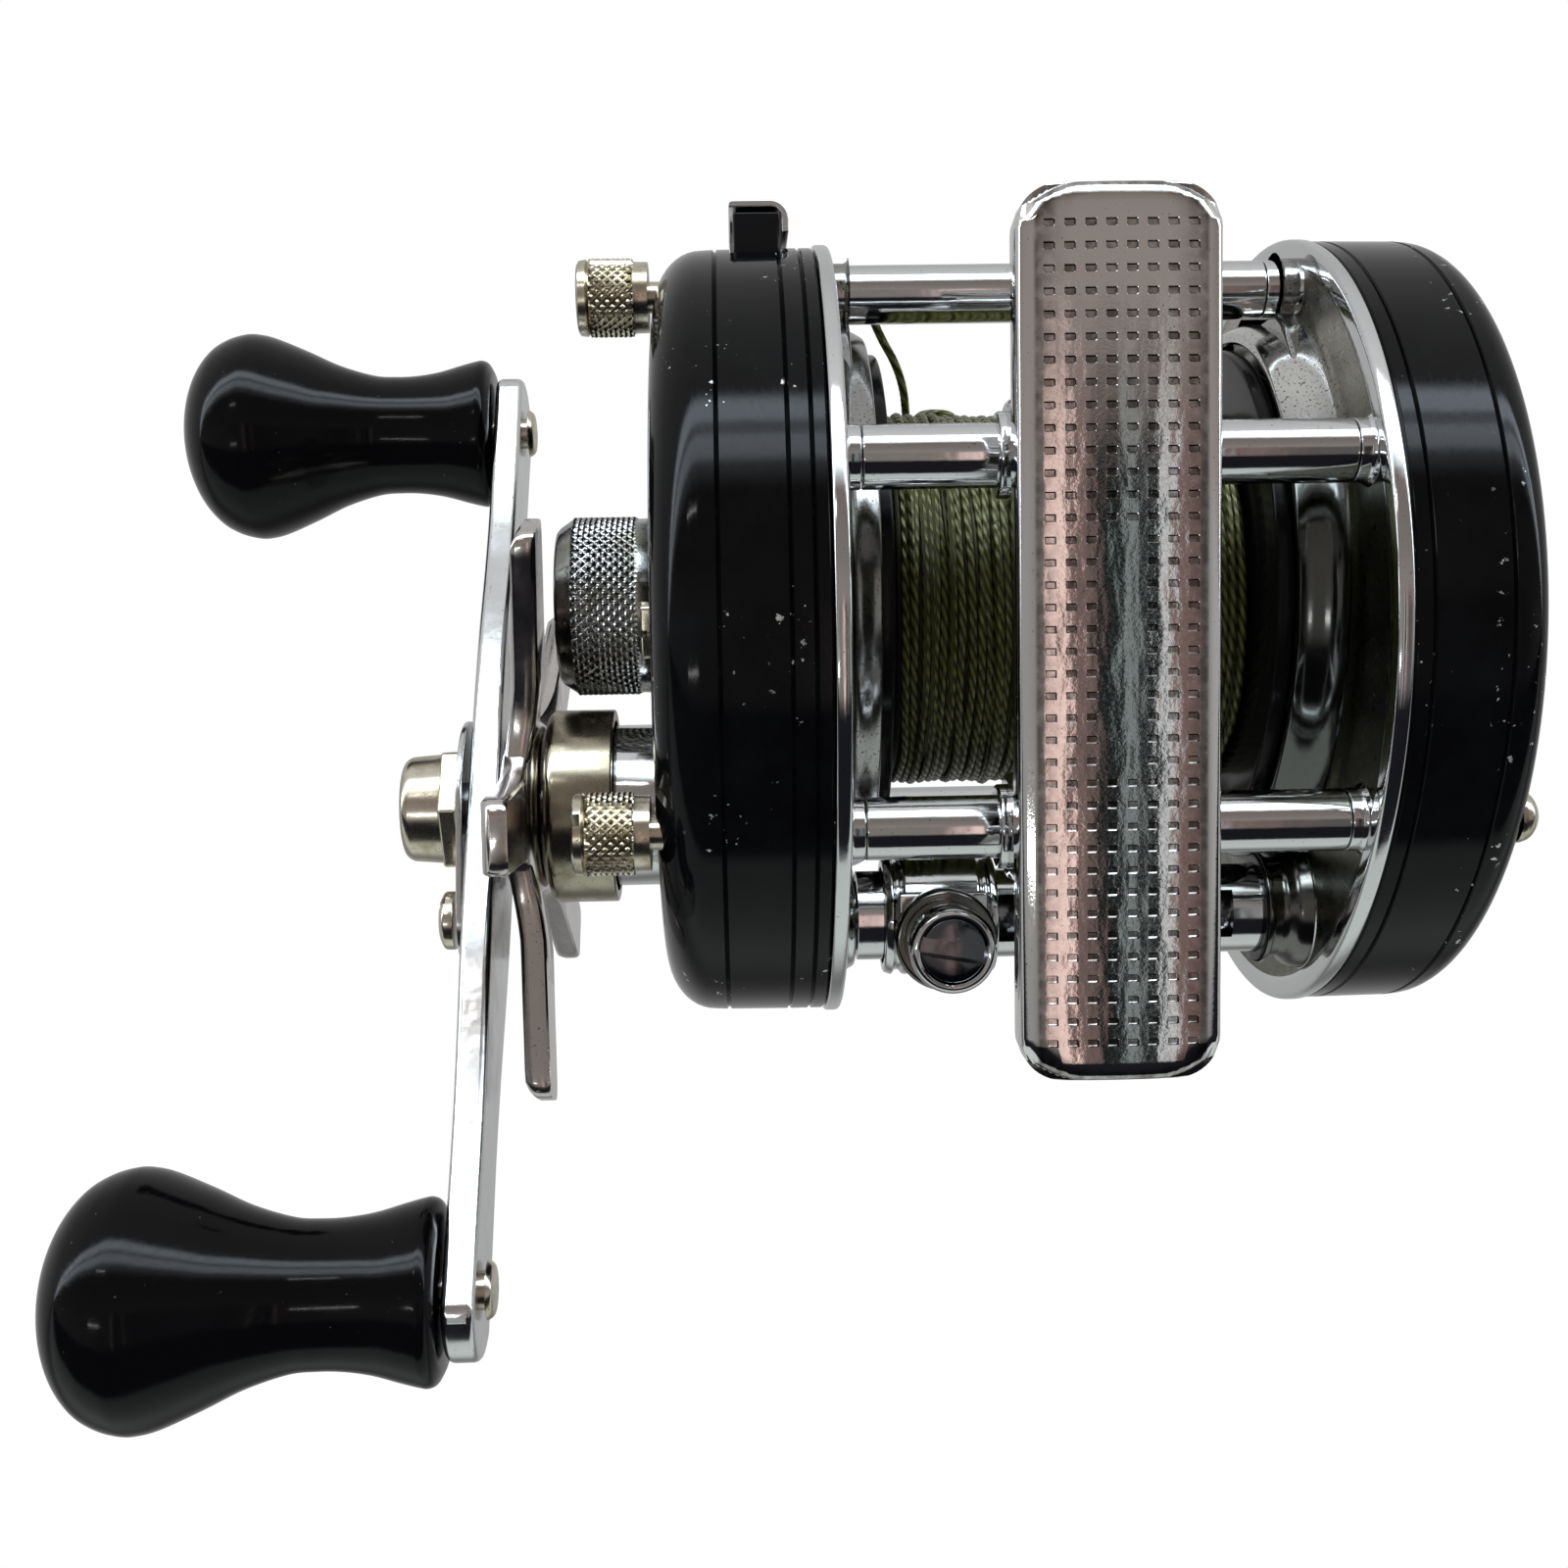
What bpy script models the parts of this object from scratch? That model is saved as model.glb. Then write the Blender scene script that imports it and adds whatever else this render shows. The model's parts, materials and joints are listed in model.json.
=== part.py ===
"""Round baitcasting fishing reel for a left-hand crank, as separate working pieces.

The foot's flat face rests at Z = 0 with the origin at its centre. +Z points away from
the rod, +Y towards the rod tip (the level wind's side) and +X towards the plate without
a crank. Lengths below are in millimetres, and every mesh is written in metres.
"""
import math

import bmesh
import bpy
from mathutils import Vector

MM = 0.001
GAP = 0.3                      # clearance that neighbouring pieces keep

# Side plates: circles about one axis along X
PLATE_Y = -0.66
PLATE_Z = 33.5
PLATE_R = 28.5
COVER_R = 28.3
COVER_WALL = 1.2
RING_THICK = 1.1
CRANK_RING_X = -15.25          # inner face of the ring on the crank side
TAIL_RING_X = 18.0             # inner face of the ring on the tail side
CRANK_FACE_X = -27.8
TAIL_FACE_X = 28.25

# Spool, level wind and crank axes, measured from the plate axis
SPOOL_Y = PLATE_Y - 2.42
SPOOL_Z = PLATE_Z + 1.0
CRANK_Y = PLATE_Y + 12.72
CRANK_Z = PLATE_Z - 1.0
WORM_Y = PLATE_Y + 20.4
WORM_Z = PLATE_Z - 8.6

# Frame cups that surround the spool's rims
SPOOL_BORE_R = 18.9
CUP_R = 20.1
CRANK_CUP_X = -12.6
TAIL_CUP_X = 15.0

# Pillars between the two rings
PILLAR_R = 2.05
PILLAR_CIRCLE = 25.1
PILLAR_ANGLES = {"rear_upper": -73.6, "rear_lower": -26.2, "front_lower": 30.3, "front_upper": 141.5}
PILLAR_SEAT = 0.7              # height of the seats that the pillars meet
TAIL_REAR_SEAT = 2.0           # the longer seat of the upper rear pillar
SCREWED_PILLARS = ("rear_upper", "front_lower", "front_upper")
THREAD_R = 1.1
THREAD_HOLE_R = 1.4

# Foot
FOOT_WIDE = 12.0
FOOT_LONG = 52.2
FOOT_THICK = 3.0
FOOT_CORNER = 2.6
SADDLE_WIDE = 10.2
SADDLE_R = 3.7

# Spool and line
FLANGE_R = 18.5
ARBOR_R = 8.0
AXLE_R = 1.0
SPOOL_LEFT_X = -11.6           # inner face of the crank-side rim
SPOOL_RIGHT_X = 13.9
LINE_R = 14.1
LINE_WIDE = 0.65
STRAND_SPARE = 0.3             # room between the rear pillar and the knot that it hides
STRAND_HOLD = 118.0            # the knot's side of that pillar, in degrees from +Y
STRAND_OVER = 60.0             # how far it lies on the pack before it leaves, in degrees
STRAND_LEAD = 10               # points of its route on the pack
STRAND_X = (-8.13, -8.26, -8.39, -8.6, -8.86, -9.3, -9.97, -10.85, -11.6, -12.15, -12.5)

# Gears
MAIN_TEETH = 50
PINION_TEETH = 14
COG_TEETH = 21
WORM_TEETH = 12
TOOTH_OUT = 0.36               # tooth tip above the pitch circle
TOOTH_IN = 0.62                # tooth root below it

# Crank
ARM_REACH = 36.15
ARM_TILT = math.radians(-32.9)
ARM_OUTER_X = -42.2
ARM_INNER_X = -40.0
ARM_END_R = 4.6
SHAFT_R = 2.0
BUSH_R = 3.0
STAR_ARMS = 5
STAR_R = 22.0
STAR_FACE = -39.7              # outer face of the star's hub, along X
STAR_THICK = 1.85
STAR_LEAST_BEND = 0.43

KNOB_PIN_R = 1.3
KNOB_BASE_X = -42.5
KNOB_END_X = -68.5
LOCK_REACH = 9.3               # lock plate screw, along the arm from the shaft
LOCK_SCREW_R = 0.8

# Threaded neck under the cast control cap, and the crank's boss
NECK_R = 5.0
NECK_BORE_R = 3.0
NECK_END_X = -33.0
BOSS_R = 6.1
BOSS_BORE_R = 3.6
BOSS_END_X = -32.2

# Level wind
CARRIAGE_X = -8.2
CARRIAGE_WIDE = 8.0
TUBE_R = 3.2
TUBE_BORE_R = 2.55
TUBE_SLOT_WIDE = 3.4
WORM_SEAT_R = 3.6
WORM_NECK_R = 1.0
WORM_R = 2.1
SLEEVE_R = 4.3
GUIDE_BAR_R = 1.0
GUIDE_BAR = (WORM_Y + 0.4, WORM_Z + 6.2)
PAWL_R = 0.9
PAWL_HEAD_R = 1.2
PAWL_Y = WORM_Y + 0.3
CAP_Y = WORM_Y + 0.9

# Free-spool slide and click button
SLIDE_X0 = -22.0
SLIDE_X1 = -18.7
SLIDE_Z0 = PLATE_Z - 6.0
SLIDE_Z1 = PLATE_Z + 5.0
SLIDE_TRAVEL = 3.0
BUTTON_Y = PLATE_Y - 31.1
BUTTON_WALL = 0.5
CLICK_Y = SPOOL_Y
CLICK_Z = PLATE_Z - 15.0
CLICK_TRAVEL = 3.0

# Pivot of the anti-reverse dog
DOG_Y = PLATE_Y + 8.0
DOG_Z = PLATE_Z + 12.5
DOG_POST_R = 0.9

SMOOTH_ANGLE = math.radians(35)
ROUND_LARGE = 36
ROUND_SPOOL = 26
ROUND_MID = 16
ROUND_SMALL = 12


# ---------------------------------------------------------------- helpers
def clear_scene():
    for item in list(bpy.data.objects):
        bpy.data.objects.remove(item, do_unlink=True)


def finish(name, colour, roughness, metallic):
    mat = bpy.data.materials.new(name)
    mat.use_nodes = True
    shader = mat.node_tree.nodes["Principled BSDF"]
    shader.inputs["Base Color"].default_value = (*colour, 1.0)
    shader.inputs["Roughness"].default_value = roughness
    shader.inputs["Metallic"].default_value = metallic
    return mat


def make_object(name, verts, faces, mat, home=(0, 0, 0)):
    """A named object from millimetre points, with its origin at home."""
    mesh = bpy.data.meshes.new(name)
    start = Vector(home)
    mesh.from_pydata([(Vector(v) - start) * MM for v in verts], [], faces)
    work = bmesh.new()
    work.from_mesh(mesh)
    bmesh.ops.recalc_face_normals(work, faces=work.faces)
    work.to_mesh(mesh)
    work.free()
    mesh.shade_smooth()
    mesh.set_sharp_from_angle(angle=SMOOTH_ANGLE)
    mesh.materials.append(mat)
    obj = bpy.data.objects.new(name, mesh)
    obj.location = start * MM
    bpy.context.collection.objects.link(obj)
    return obj


def place_along(axis, centre, along, side, up):
    """A point from its distance along an axis and its two offsets from it."""
    if axis == "X":
        return (along, centre[0] + side, centre[1] + up)
    if axis == "Y":
        return (centre[0] + side, along, centre[1] + up)
    return (centre[0] + side, centre[1] + up, along)


def turned(name, profile, centre, mat, steps=ROUND_MID, axis="X", closed=False):
    """A turned solid: profile points are (distance along the axis, radius)."""
    verts = []
    rings = []
    for along, radius in profile:
        if radius < 1e-6:
            rings.append([len(verts)])
            verts.append(place_along(axis, centre, along, 0.0, 0.0))
            continue
        ring = []
        for step in range(steps):
            turn = 2 * math.pi * step / steps
            ring.append(len(verts))
            side = radius * math.cos(turn)
            verts.append(place_along(axis, centre, along, side, radius * math.sin(turn)))
        rings.append(ring)
    faces = []
    pairs = list(zip(rings, rings[1:]))
    if closed:
        pairs.append((rings[-1], rings[0]))
    for first, second in pairs:
        for step in range(steps):
            after = (step + 1) % steps
            if len(first) == 1:
                faces.append((first[0], second[step], second[after]))
            elif len(second) == 1:
                faces.append((first[step], first[after], second[0]))
            else:
                faces.append((first[step], first[after], second[after], second[step]))
    home = place_along(axis, centre, profile[0][0], 0.0, 0.0)
    return make_object(name, verts, faces, mat, home)


def rod(name, x0, x1, radius, centre, mat, steps=ROUND_SMALL, axis="X"):
    profile = [(x0, 0), (x0, radius), (x1, radius), (x1, 0)]
    return turned(name, profile, centre, mat, steps, axis)


def tube(name, x0, x1, inner, outer, centre, mat, steps=ROUND_MID, axis="X"):
    profile = [(x0, inner), (x0, outer), (x1, outer), (x1, inner)]
    return turned(name, profile, centre, mat, steps, axis, closed=True)


def extruded(name, outline, x0, x1, mat, home=None):
    """A flat shape in Y and Z carried from x0 to x1."""
    count = len(outline)
    verts = [(x, y, z) for x in (x0, x1) for y, z in outline]
    faces = [tuple(range(count)), tuple(range(count, 2 * count))]
    for i in range(count):
        j = (i + 1) % count
        faces.append((i, j, count + j, count + i))
    return make_object(name, verts, faces, mat, home or (x0, outline[0][0], outline[0][1]))


def block(name, low, high, mat):
    outline = [(low[1], low[2]), (high[1], low[2]), (high[1], high[2]), (low[1], high[2])]
    return extruded(name, outline, low[0], high[0], mat)


def gather(name, pieces):
    """Several separate solids as one object, to serve as one tool."""
    work = bmesh.new()
    for piece in pieces:
        start = len(work.verts)
        work.from_mesh(piece.data)
        work.verts.ensure_lookup_table()
        for vert in work.verts[start:]:
            vert.co += piece.location
        bpy.data.objects.remove(piece, do_unlink=True)
    mesh = bpy.data.meshes.new(name)
    work.to_mesh(mesh)
    work.free()
    obj = bpy.data.objects.new(name, mesh)
    bpy.context.collection.objects.link(obj)
    return obj


def combine(target, tools, operation):
    """Adds or cuts each tool, which stays as a hidden guide."""
    for tool in tools:
        mod = target.modifiers.new(tool.name, "BOOLEAN")
        mod.operation = operation
        mod.object = tool
        tool.hide_render = True
        tool.display_type = "WIRE"
        tool.data.materials.clear()
    return target


def cut(target, *tools):
    return combine(target, tools, "DIFFERENCE")


def join(target, *tools):
    return combine(target, tools, "UNION")


def empty(name, x, centre, turn_x=0.0):
    marker = bpy.data.objects.new(name, None)
    marker.location = Vector((x, centre[0], centre[1])) * MM
    marker.rotation_euler = (turn_x, 0.0, 0.0)
    marker.empty_display_size = 0.005
    bpy.context.collection.objects.link(marker)
    return marker


def hang(marker, *pieces):
    """Parents pieces and their guides to a marker, which then turns them about itself."""
    for piece in pieces:
        piece.parent = marker
        piece.location = piece.location - marker.location
        hang(marker, *[mod.object for mod in piece.modifiers if mod.type == "BOOLEAN"])


def arc(centre, radius, start, stop, count):
    points = []
    for i in range(count + 1):
        turn = math.radians(start + (stop - start) * i / count)
        points.append((centre[0] + radius * math.cos(turn), centre[1] + radius * math.sin(turn)))
    return points


def pillar_place(key):
    turn = math.radians(PILLAR_ANGLES[key])
    return (PLATE_Y + PILLAR_CIRCLE * math.sin(turn), PLATE_Z - PILLAR_CIRCLE * math.cos(turn))


PLATE = (PLATE_Y, PLATE_Z)
SPOOL = (SPOOL_Y, SPOOL_Z)
CRANK = (CRANK_Y, CRANK_Z)
WORM = (WORM_Y, WORM_Z)


# ---------------------------------------------------------------- frame
def frame_ring(name, inner_x, cup_x, side, mat, worm_hole):
    """Ring, spool cup, pillar seats and level wind seat as one casting."""
    outer_x = inner_x + side * RING_THICK
    edge = 0.25
    profile = [(outer_x, 0), (outer_x, PLATE_R - edge), (outer_x - side * edge, PLATE_R),
               (inner_x + side * edge, PLATE_R), (inner_x, PLATE_R - edge), (inner_x, 0)]
    ring = turned(name, profile, PLATE, mat, ROUND_LARGE)
    rim = side * 0.5
    back_x = inner_x + side * 0.6
    cup_profile = [(back_x, 0), (back_x, CUP_R), (cup_x + rim, CUP_R), (cup_x, CUP_R - 0.5), (cup_x, 0)]
    cup = turned(name + "_cup", cup_profile, SPOOL, mat, ROUND_LARGE)
    join(ring, cup)
    seat_back = inner_x + side * 0.5
    seats = [rod(name + "_worm_seat", seat_back, inner_x - side * 0.9, WORM_SEAT_R, WORM, mat, ROUND_MID)]
    for key in PILLAR_ANGLES:
        seat_x = inner_x - side * (TAIL_REAR_SEAT if key == "rear_upper" and side > 0 else PILLAR_SEAT)
        seats.append(rod(name + "_seat_" + key, seat_back, seat_x, PILLAR_R + 0.15, pillar_place(key), mat))
    join(ring, gather(name + "_seats", seats))
    x0 = inner_x - side * 8
    x1 = inner_x + side * 8
    cutters = [rod(name + "_bore", x0, x1, SPOOL_BORE_R, SPOOL, mat, ROUND_LARGE)]
    cutters.append(rod(name + "_worm_hole", x0, x1, worm_hole, WORM, mat))
    for key in SCREWED_PILLARS:
        cutters.append(rod(name + "_hole_" + key, x0, x1, THREAD_HOLE_R, pillar_place(key), mat))
    return cut(ring, gather(name + "_holes", cutters))


def pillar(key, mat):
    """A round bar between the rings, bored for the long screws at both ends."""
    left = CRANK_RING_X + PILLAR_SEAT + GAP
    right = TAIL_RING_X - (TAIL_REAR_SEAT if key == "rear_upper" else PILLAR_SEAT) - GAP
    edge = 0.2
    if key not in SCREWED_PILLARS:
        profile = [(left, 0), (left, PILLAR_R - edge), (left + edge, PILLAR_R),
                   (right - edge, PILLAR_R), (right, PILLAR_R - edge), (right, 0)]
        return turned("pillar_" + key, profile, pillar_place(key), mat, ROUND_SMALL)
    deep = 5.0
    profile = [(left + deep, 0), (left + deep, THREAD_HOLE_R), (left, THREAD_HOLE_R),
               (left, PILLAR_R - edge), (left + edge, PILLAR_R), (right - edge, PILLAR_R),
               (right, PILLAR_R - edge), (right, THREAD_HOLE_R), (right - deep, THREAD_HOLE_R),
               (right - deep, 0)]
    return turned("pillar_" + key, profile, pillar_place(key), mat, ROUND_SMALL)


def reel_foot(mat):
    """Long plate with round corners, and a saddle round each lower pillar."""
    half_x = FOOT_WIDE / 2
    half_y = FOOT_LONG / 2
    in_x = half_x - FOOT_CORNER
    in_y = half_y - FOOT_CORNER
    corners = [(in_x, in_y, 0), (-in_x, in_y, 90), (-in_x, -in_y, 180), (in_x, -in_y, 270)]
    outline = []
    for cx, cy, start in corners:
        outline += arc((cx, cy), FOOT_CORNER, start, start + 90, 5)
    edge = 0.5
    layers = [(0.0, edge), (edge, 0.0), (FOOT_THICK - edge, 0.0), (FOOT_THICK, edge)]
    verts = []
    for height, inset in layers:
        for x, y in outline:
            shrink_x = (half_x - inset) / half_x
            shrink_y = (half_y - inset) / half_y
            verts.append((x * shrink_x, y * shrink_y, height))
    count = len(outline)
    faces = [tuple(range(count)), tuple(range(3 * count, 4 * count))]
    for layer in range(3):
        for i in range(count):
            j = (i + 1) % count
            low = layer * count
            faces.append((low + i, low + j, low + count + j, low + count + i))
    foot = make_object("reel_foot", verts, faces, mat)
    for key in ("rear_lower", "front_lower"):
        y, z = pillar_place(key)
        half = SADDLE_WIDE / 2
        low = (-half, y - SADDLE_R, FOOT_THICK - 0.6)
        neck = block("foot_neck_" + key, low, (half, y + SADDLE_R, z), mat)
        eye = rod("foot_eye_" + key, -half, half, SADDLE_R, (y, z), mat, ROUND_MID)
        join(foot, neck, eye)
        cut(foot, rod("foot_hole_" + key, -half - 5, half + 5, PILLAR_R + GAP, (y, z), mat, ROUND_SMALL))
    return foot


# ---------------------------------------------------------------- side covers
def handle_side_cover(mat):
    wall = COVER_WALL
    open_x = CRANK_RING_X - RING_THICK - GAP
    face = CRANK_FACE_X
    profile = [(face + wall, 0), (face + wall, COVER_R - 4.0), (face + 2.2, COVER_R - wall - 1.0),
               (face + 3.6, COVER_R - wall), (open_x, COVER_R - wall), (open_x, COVER_R),
               (face + 4.4, COVER_R), (face + 2.2, COVER_R - 0.4), (face + 0.9, COVER_R - 1.3),
               (face + 0.2, COVER_R - 2.6), (face, COVER_R - 4.0), (face, 0)]
    cover = turned("handle_side_cover", profile, PLATE, mat, ROUND_LARGE)
    neck = rod("cover_neck", NECK_END_X, face + 0.6, NECK_R, SPOOL, mat, ROUND_MID)
    join(cover, neck)
    cutters = [rod("cover_neck_bore", NECK_END_X - 5, face + 6, NECK_BORE_R, SPOOL, mat, ROUND_MID),
               rod("cover_boss_hole", face - 5, face + 5, BOSS_R + GAP, CRANK, mat, ROUND_MID)]
    for key in SCREWED_PILLARS:
        place = pillar_place(key)
        cutters.append(rod("cover_hole_" + key, face - 5, face + 5, THREAD_HOLE_R, place, mat))
    slot_low = (SLIDE_X0 - GAP, PLATE_Y - 33.0, SLIDE_Z0 - SLIDE_TRAVEL - GAP)
    slot_high = (SLIDE_X1 + GAP, PLATE_Y - 22.0, SLIDE_Z1 + GAP)
    cutters.append(block("cover_slide_slot", slot_low, slot_high, mat))
    return cut(cover, gather("cover_holes", cutters))


def tail_side_cover(mat):
    wall = COVER_WALL
    open_x = TAIL_RING_X + RING_THICK + GAP
    face = TAIL_FACE_X
    profile = [(face - wall, 0), (face - wall, COVER_R - 2.2), (face - 2.4, COVER_R - wall),
               (open_x, COVER_R - wall), (open_x, COVER_R), (face - 2.9, COVER_R),
               (face - 1.4, COVER_R - 0.25), (face - 0.5, COVER_R - 0.8), (face, COVER_R - 2.0),
               (face, 0)]
    cover = turned("tail_side_cover", profile, PLATE, mat, ROUND_LARGE)
    seat = rod("tail_bearing_seat", face - 4.6, face - 0.5, 4.3, SPOOL, mat, ROUND_MID)
    join(cover, seat)
    cutters = [rod("tail_bearing_bore", face - 9, face - 1.4, NECK_BORE_R, SPOOL, mat, ROUND_MID)]
    for key in SCREWED_PILLARS:
        cutters.append(rod("tail_hole_" + key, face - 9, face + 5, THREAD_HOLE_R, pillar_place(key), mat))
    slot_low = (face - 5, CLICK_Y - 1.1 - GAP, CLICK_Z - 1.1 - GAP)
    slot_high = (face + 5, CLICK_Y + 1.1 + GAP, CLICK_Z + 1.1 + CLICK_TRAVEL + GAP)
    cutters.append(block("tail_click_slot", slot_low, slot_high, mat))
    return cut(cover, gather("tail_holes", cutters))


def gear_plate(mat):
    x0 = CRANK_RING_X - RING_THICK - 1.15
    x1 = CRANK_RING_X - RING_THICK - 0.45
    plate = rod("gear_plate", x0, x1, 26.6, PLATE, mat, ROUND_LARGE)
    join(plate, rod("dog_post", -20.6, x0 + 0.3, DOG_POST_R, (DOG_Y, DOG_Z), mat, 12))
    cutters = [rod("gear_plate_spool_hole", x0 - 2, x1 + 2, 4.5, SPOOL, mat, ROUND_MID),
               rod("gear_plate_crank_hole", x0 - 2, x1 + 2, BUSH_R, CRANK, mat, ROUND_MID),
               rod("gear_plate_worm_hole", x0 - 2, x1 + 2, 1.5, WORM, mat)]
    for key in SCREWED_PILLARS:
        place = pillar_place(key)
        cutters.append(rod("gear_plate_hole_" + key, x0 - 2, x1 + 2, THREAD_HOLE_R, place, mat))
    return cut(plate, gather("gear_plate_holes", cutters))


# ---------------------------------------------------------------- gears
def gear_outline(centre, teeth, module, phase):
    """Trapezoid teeth that leave play on both sides."""
    pitch_r = teeth * module / 2
    root = pitch_r - TOOTH_IN
    tip = pitch_r + TOOTH_OUT
    half_root = 0.34 / root
    half_tip = 0.15 / tip
    points = []
    for tooth in range(teeth):
        middle = phase + 2 * math.pi * tooth / teeth
        for radius, offset in ((root, -half_root), (tip, -half_tip), (tip, half_tip), (root, half_root)):
            turn = middle + offset
            points.append((centre[0] + radius * math.cos(turn), centre[1] + radius * math.sin(turn)))
    return points


def gear(name, x0, x1, centre, teeth, module, phase, bore, mat):
    outline = gear_outline(centre, teeth, module, phase)
    wheel = extruded(name, outline, x0, x1, mat, (x0, centre[0], centre[1]))
    if bore:
        cut(wheel, rod(name + "_bore", x0 - 3, x1 + 3, bore, centre, mat, ROUND_SMALL))
    return wheel


def ratchet_wheel(x0, x1, mat):
    points = []
    teeth = 10
    for tooth in range(teeth):
        start = 2 * math.pi * tooth / teeth
        for radius, part in ((6.0, 0.0), (4.9, 0.12), (5.4, 0.55)):
            turn = start + part * 2 * math.pi / teeth
            points.append((CRANK_Y + radius * math.cos(turn), CRANK_Z + radius * math.sin(turn)))
    wheel = extruded("ratchet_wheel", points, x0, x1, mat, (x0, CRANK_Y, CRANK_Z))
    return cut(wheel, rod("ratchet_bore", x0 - 3, x1 + 3, SHAFT_R + GAP, CRANK, mat, ROUND_SMALL))


def heading(start, stop):
    return math.atan2(stop[1] - start[1], stop[0] - start[0])


def distance(start, stop):
    return math.hypot(stop[0] - start[0], stop[1] - start[1])


def gear_train(brass, steel):
    """Main gear and pinion, and the two cogs that turn the level wind."""
    to_spool = heading(CRANK, SPOOL)
    module = 2 * distance(CRANK, SPOOL) / (MAIN_TEETH + PINION_TEETH)
    main = gear("main_gear", -22.6, -20.4, CRANK, MAIN_TEETH, module, to_spool, SHAFT_R + GAP, brass)
    back = to_spool + math.pi
    outline = gear_outline(SPOOL, PINION_TEETH, module, back + math.pi / PINION_TEETH)
    pinion = extruded("pinion_gear", outline, -24.4, -20.0, brass, (-24.4, SPOOL_Y, SPOOL_Z))
    neck = rod("pinion_neck", -20.3, -18.3, 2.0, SPOOL, brass, ROUND_MID)
    collar = rod("pinion_collar", -18.6, -15.8, 3.6, SPOOL, brass, ROUND_MID)
    join(pinion, neck, collar)
    cut(pinion, rod("pinion_bore", -30, -10, AXLE_R + GAP, SPOOL, brass, ROUND_SMALL))
    to_worm = heading(CRANK, WORM)
    module = 2 * distance(CRANK, WORM) / (COG_TEETH + WORM_TEETH)
    cog = gear("level_wind_cog", -18.8, -17.9, CRANK, COG_TEETH, module, to_worm, SHAFT_R + GAP, steel)
    phase = to_worm + math.pi + math.pi / WORM_TEETH
    worm_gear = gear("worm_gear", -18.8, -17.9, WORM, WORM_TEETH, module, phase, 1.3, steel)
    return main, pinion, cog, worm_gear


def clutch_yoke(mat):
    """Plate that sits in the pinion's groove, open on the main gear's side."""
    x0 = -20.0 + 0.35
    x1 = -18.6 - 0.35
    low = (x0, SPOOL_Y - 8.0, SPOOL_Z - 8.0)
    high = (x1, SPOOL_Y + 0.8, SPOOL_Z + 8.0)
    yoke = block("clutch_yoke", low, high, mat)
    slot_low = (x0 - 2, SPOOL_Y, SPOOL_Z - 2.0 - GAP)
    slot_high = (x1 + 2, SPOOL_Y + 3, SPOOL_Z + 2.0 + GAP)
    slot = block("yoke_slot", slot_low, slot_high, mat)
    return cut(yoke, rod("yoke_bore", x0 - 2, x1 + 2, 2.0 + GAP, SPOOL, mat, 20), slot)


def anti_reverse_dog(mat):
    """Lever that stops the ratchet wheel, on the gear plate's post."""
    x0 = -20.0
    x1 = -19.2
    reach = distance((DOG_Y, DOG_Z), CRANK) - 6.0 - 0.5
    turn = heading((DOG_Y, DOG_Z), CRANK)
    shape = [(-1.8, -1.8), (1.5, -1.8), (reach, -0.5), (reach, 0.5), (1.5, 1.8), (-1.8, 1.8)]
    outline = []
    for along, side in shape:
        y = DOG_Y + along * math.cos(turn) - side * math.sin(turn)
        z = DOG_Z + along * math.sin(turn) + side * math.cos(turn)
        outline.append((y, z))
    dog = extruded("anti_reverse_dog", outline, x0, x1, mat, (x0, DOG_Y, DOG_Z))
    return cut(dog, rod("dog_bore", x0 - 2, x1 + 2, DOG_POST_R + GAP, (DOG_Y, DOG_Z), mat, 12))


# ---------------------------------------------------------------- spool
def spool(mat):
    """Arbor with two rims, recessed at both ends and bored for its axle."""
    left = SPOOL_LEFT_X
    right = SPOOL_RIGHT_X
    rim = 1.2
    profile = [(left - 2.4, AXLE_R + GAP), (left - 2.4, 5.0), (left + 2.0, 5.4), (left + 2.0, ARBOR_R - 1.2),
               (left - rim - 0.6, ARBOR_R + 2.0), (left - rim, FLANGE_R - 0.4), (left - rim + 0.4, FLANGE_R),
               (left - 0.3, FLANGE_R), (left, FLANGE_R - 0.4), (left + 0.4, ARBOR_R), (right - 0.4, ARBOR_R),
               (right, FLANGE_R - 0.4), (right + 0.3, FLANGE_R), (right + rim - 0.3, FLANGE_R),
               (right + rim, FLANGE_R - 0.4), (right + rim, ARBOR_R + 1.0), (right - 2.0, ARBOR_R - 1.2),
               (right - 2.0, 4.0), (right + 1.0, 4.0), (right + 1.0, AXLE_R + GAP)]
    return turned("spool", profile, SPOOL, mat, ROUND_SPOOL, closed=True)


def line_pack(mat):
    """The wound line as one ring on the arbor."""
    left = SPOOL_LEFT_X + 0.45
    right = SPOOL_RIGHT_X - 0.45
    inner = ARBOR_R + GAP
    profile = [(left + 0.35, inner), (left, LINE_R - 1.0), (left + 0.8, LINE_R), (right - 0.8, LINE_R),
               (right, LINE_R - 1.0), (right - 0.35, inner)]
    return turned("line_pack", profile, SPOOL, mat, ROUND_SPOOL, closed=True)


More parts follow.
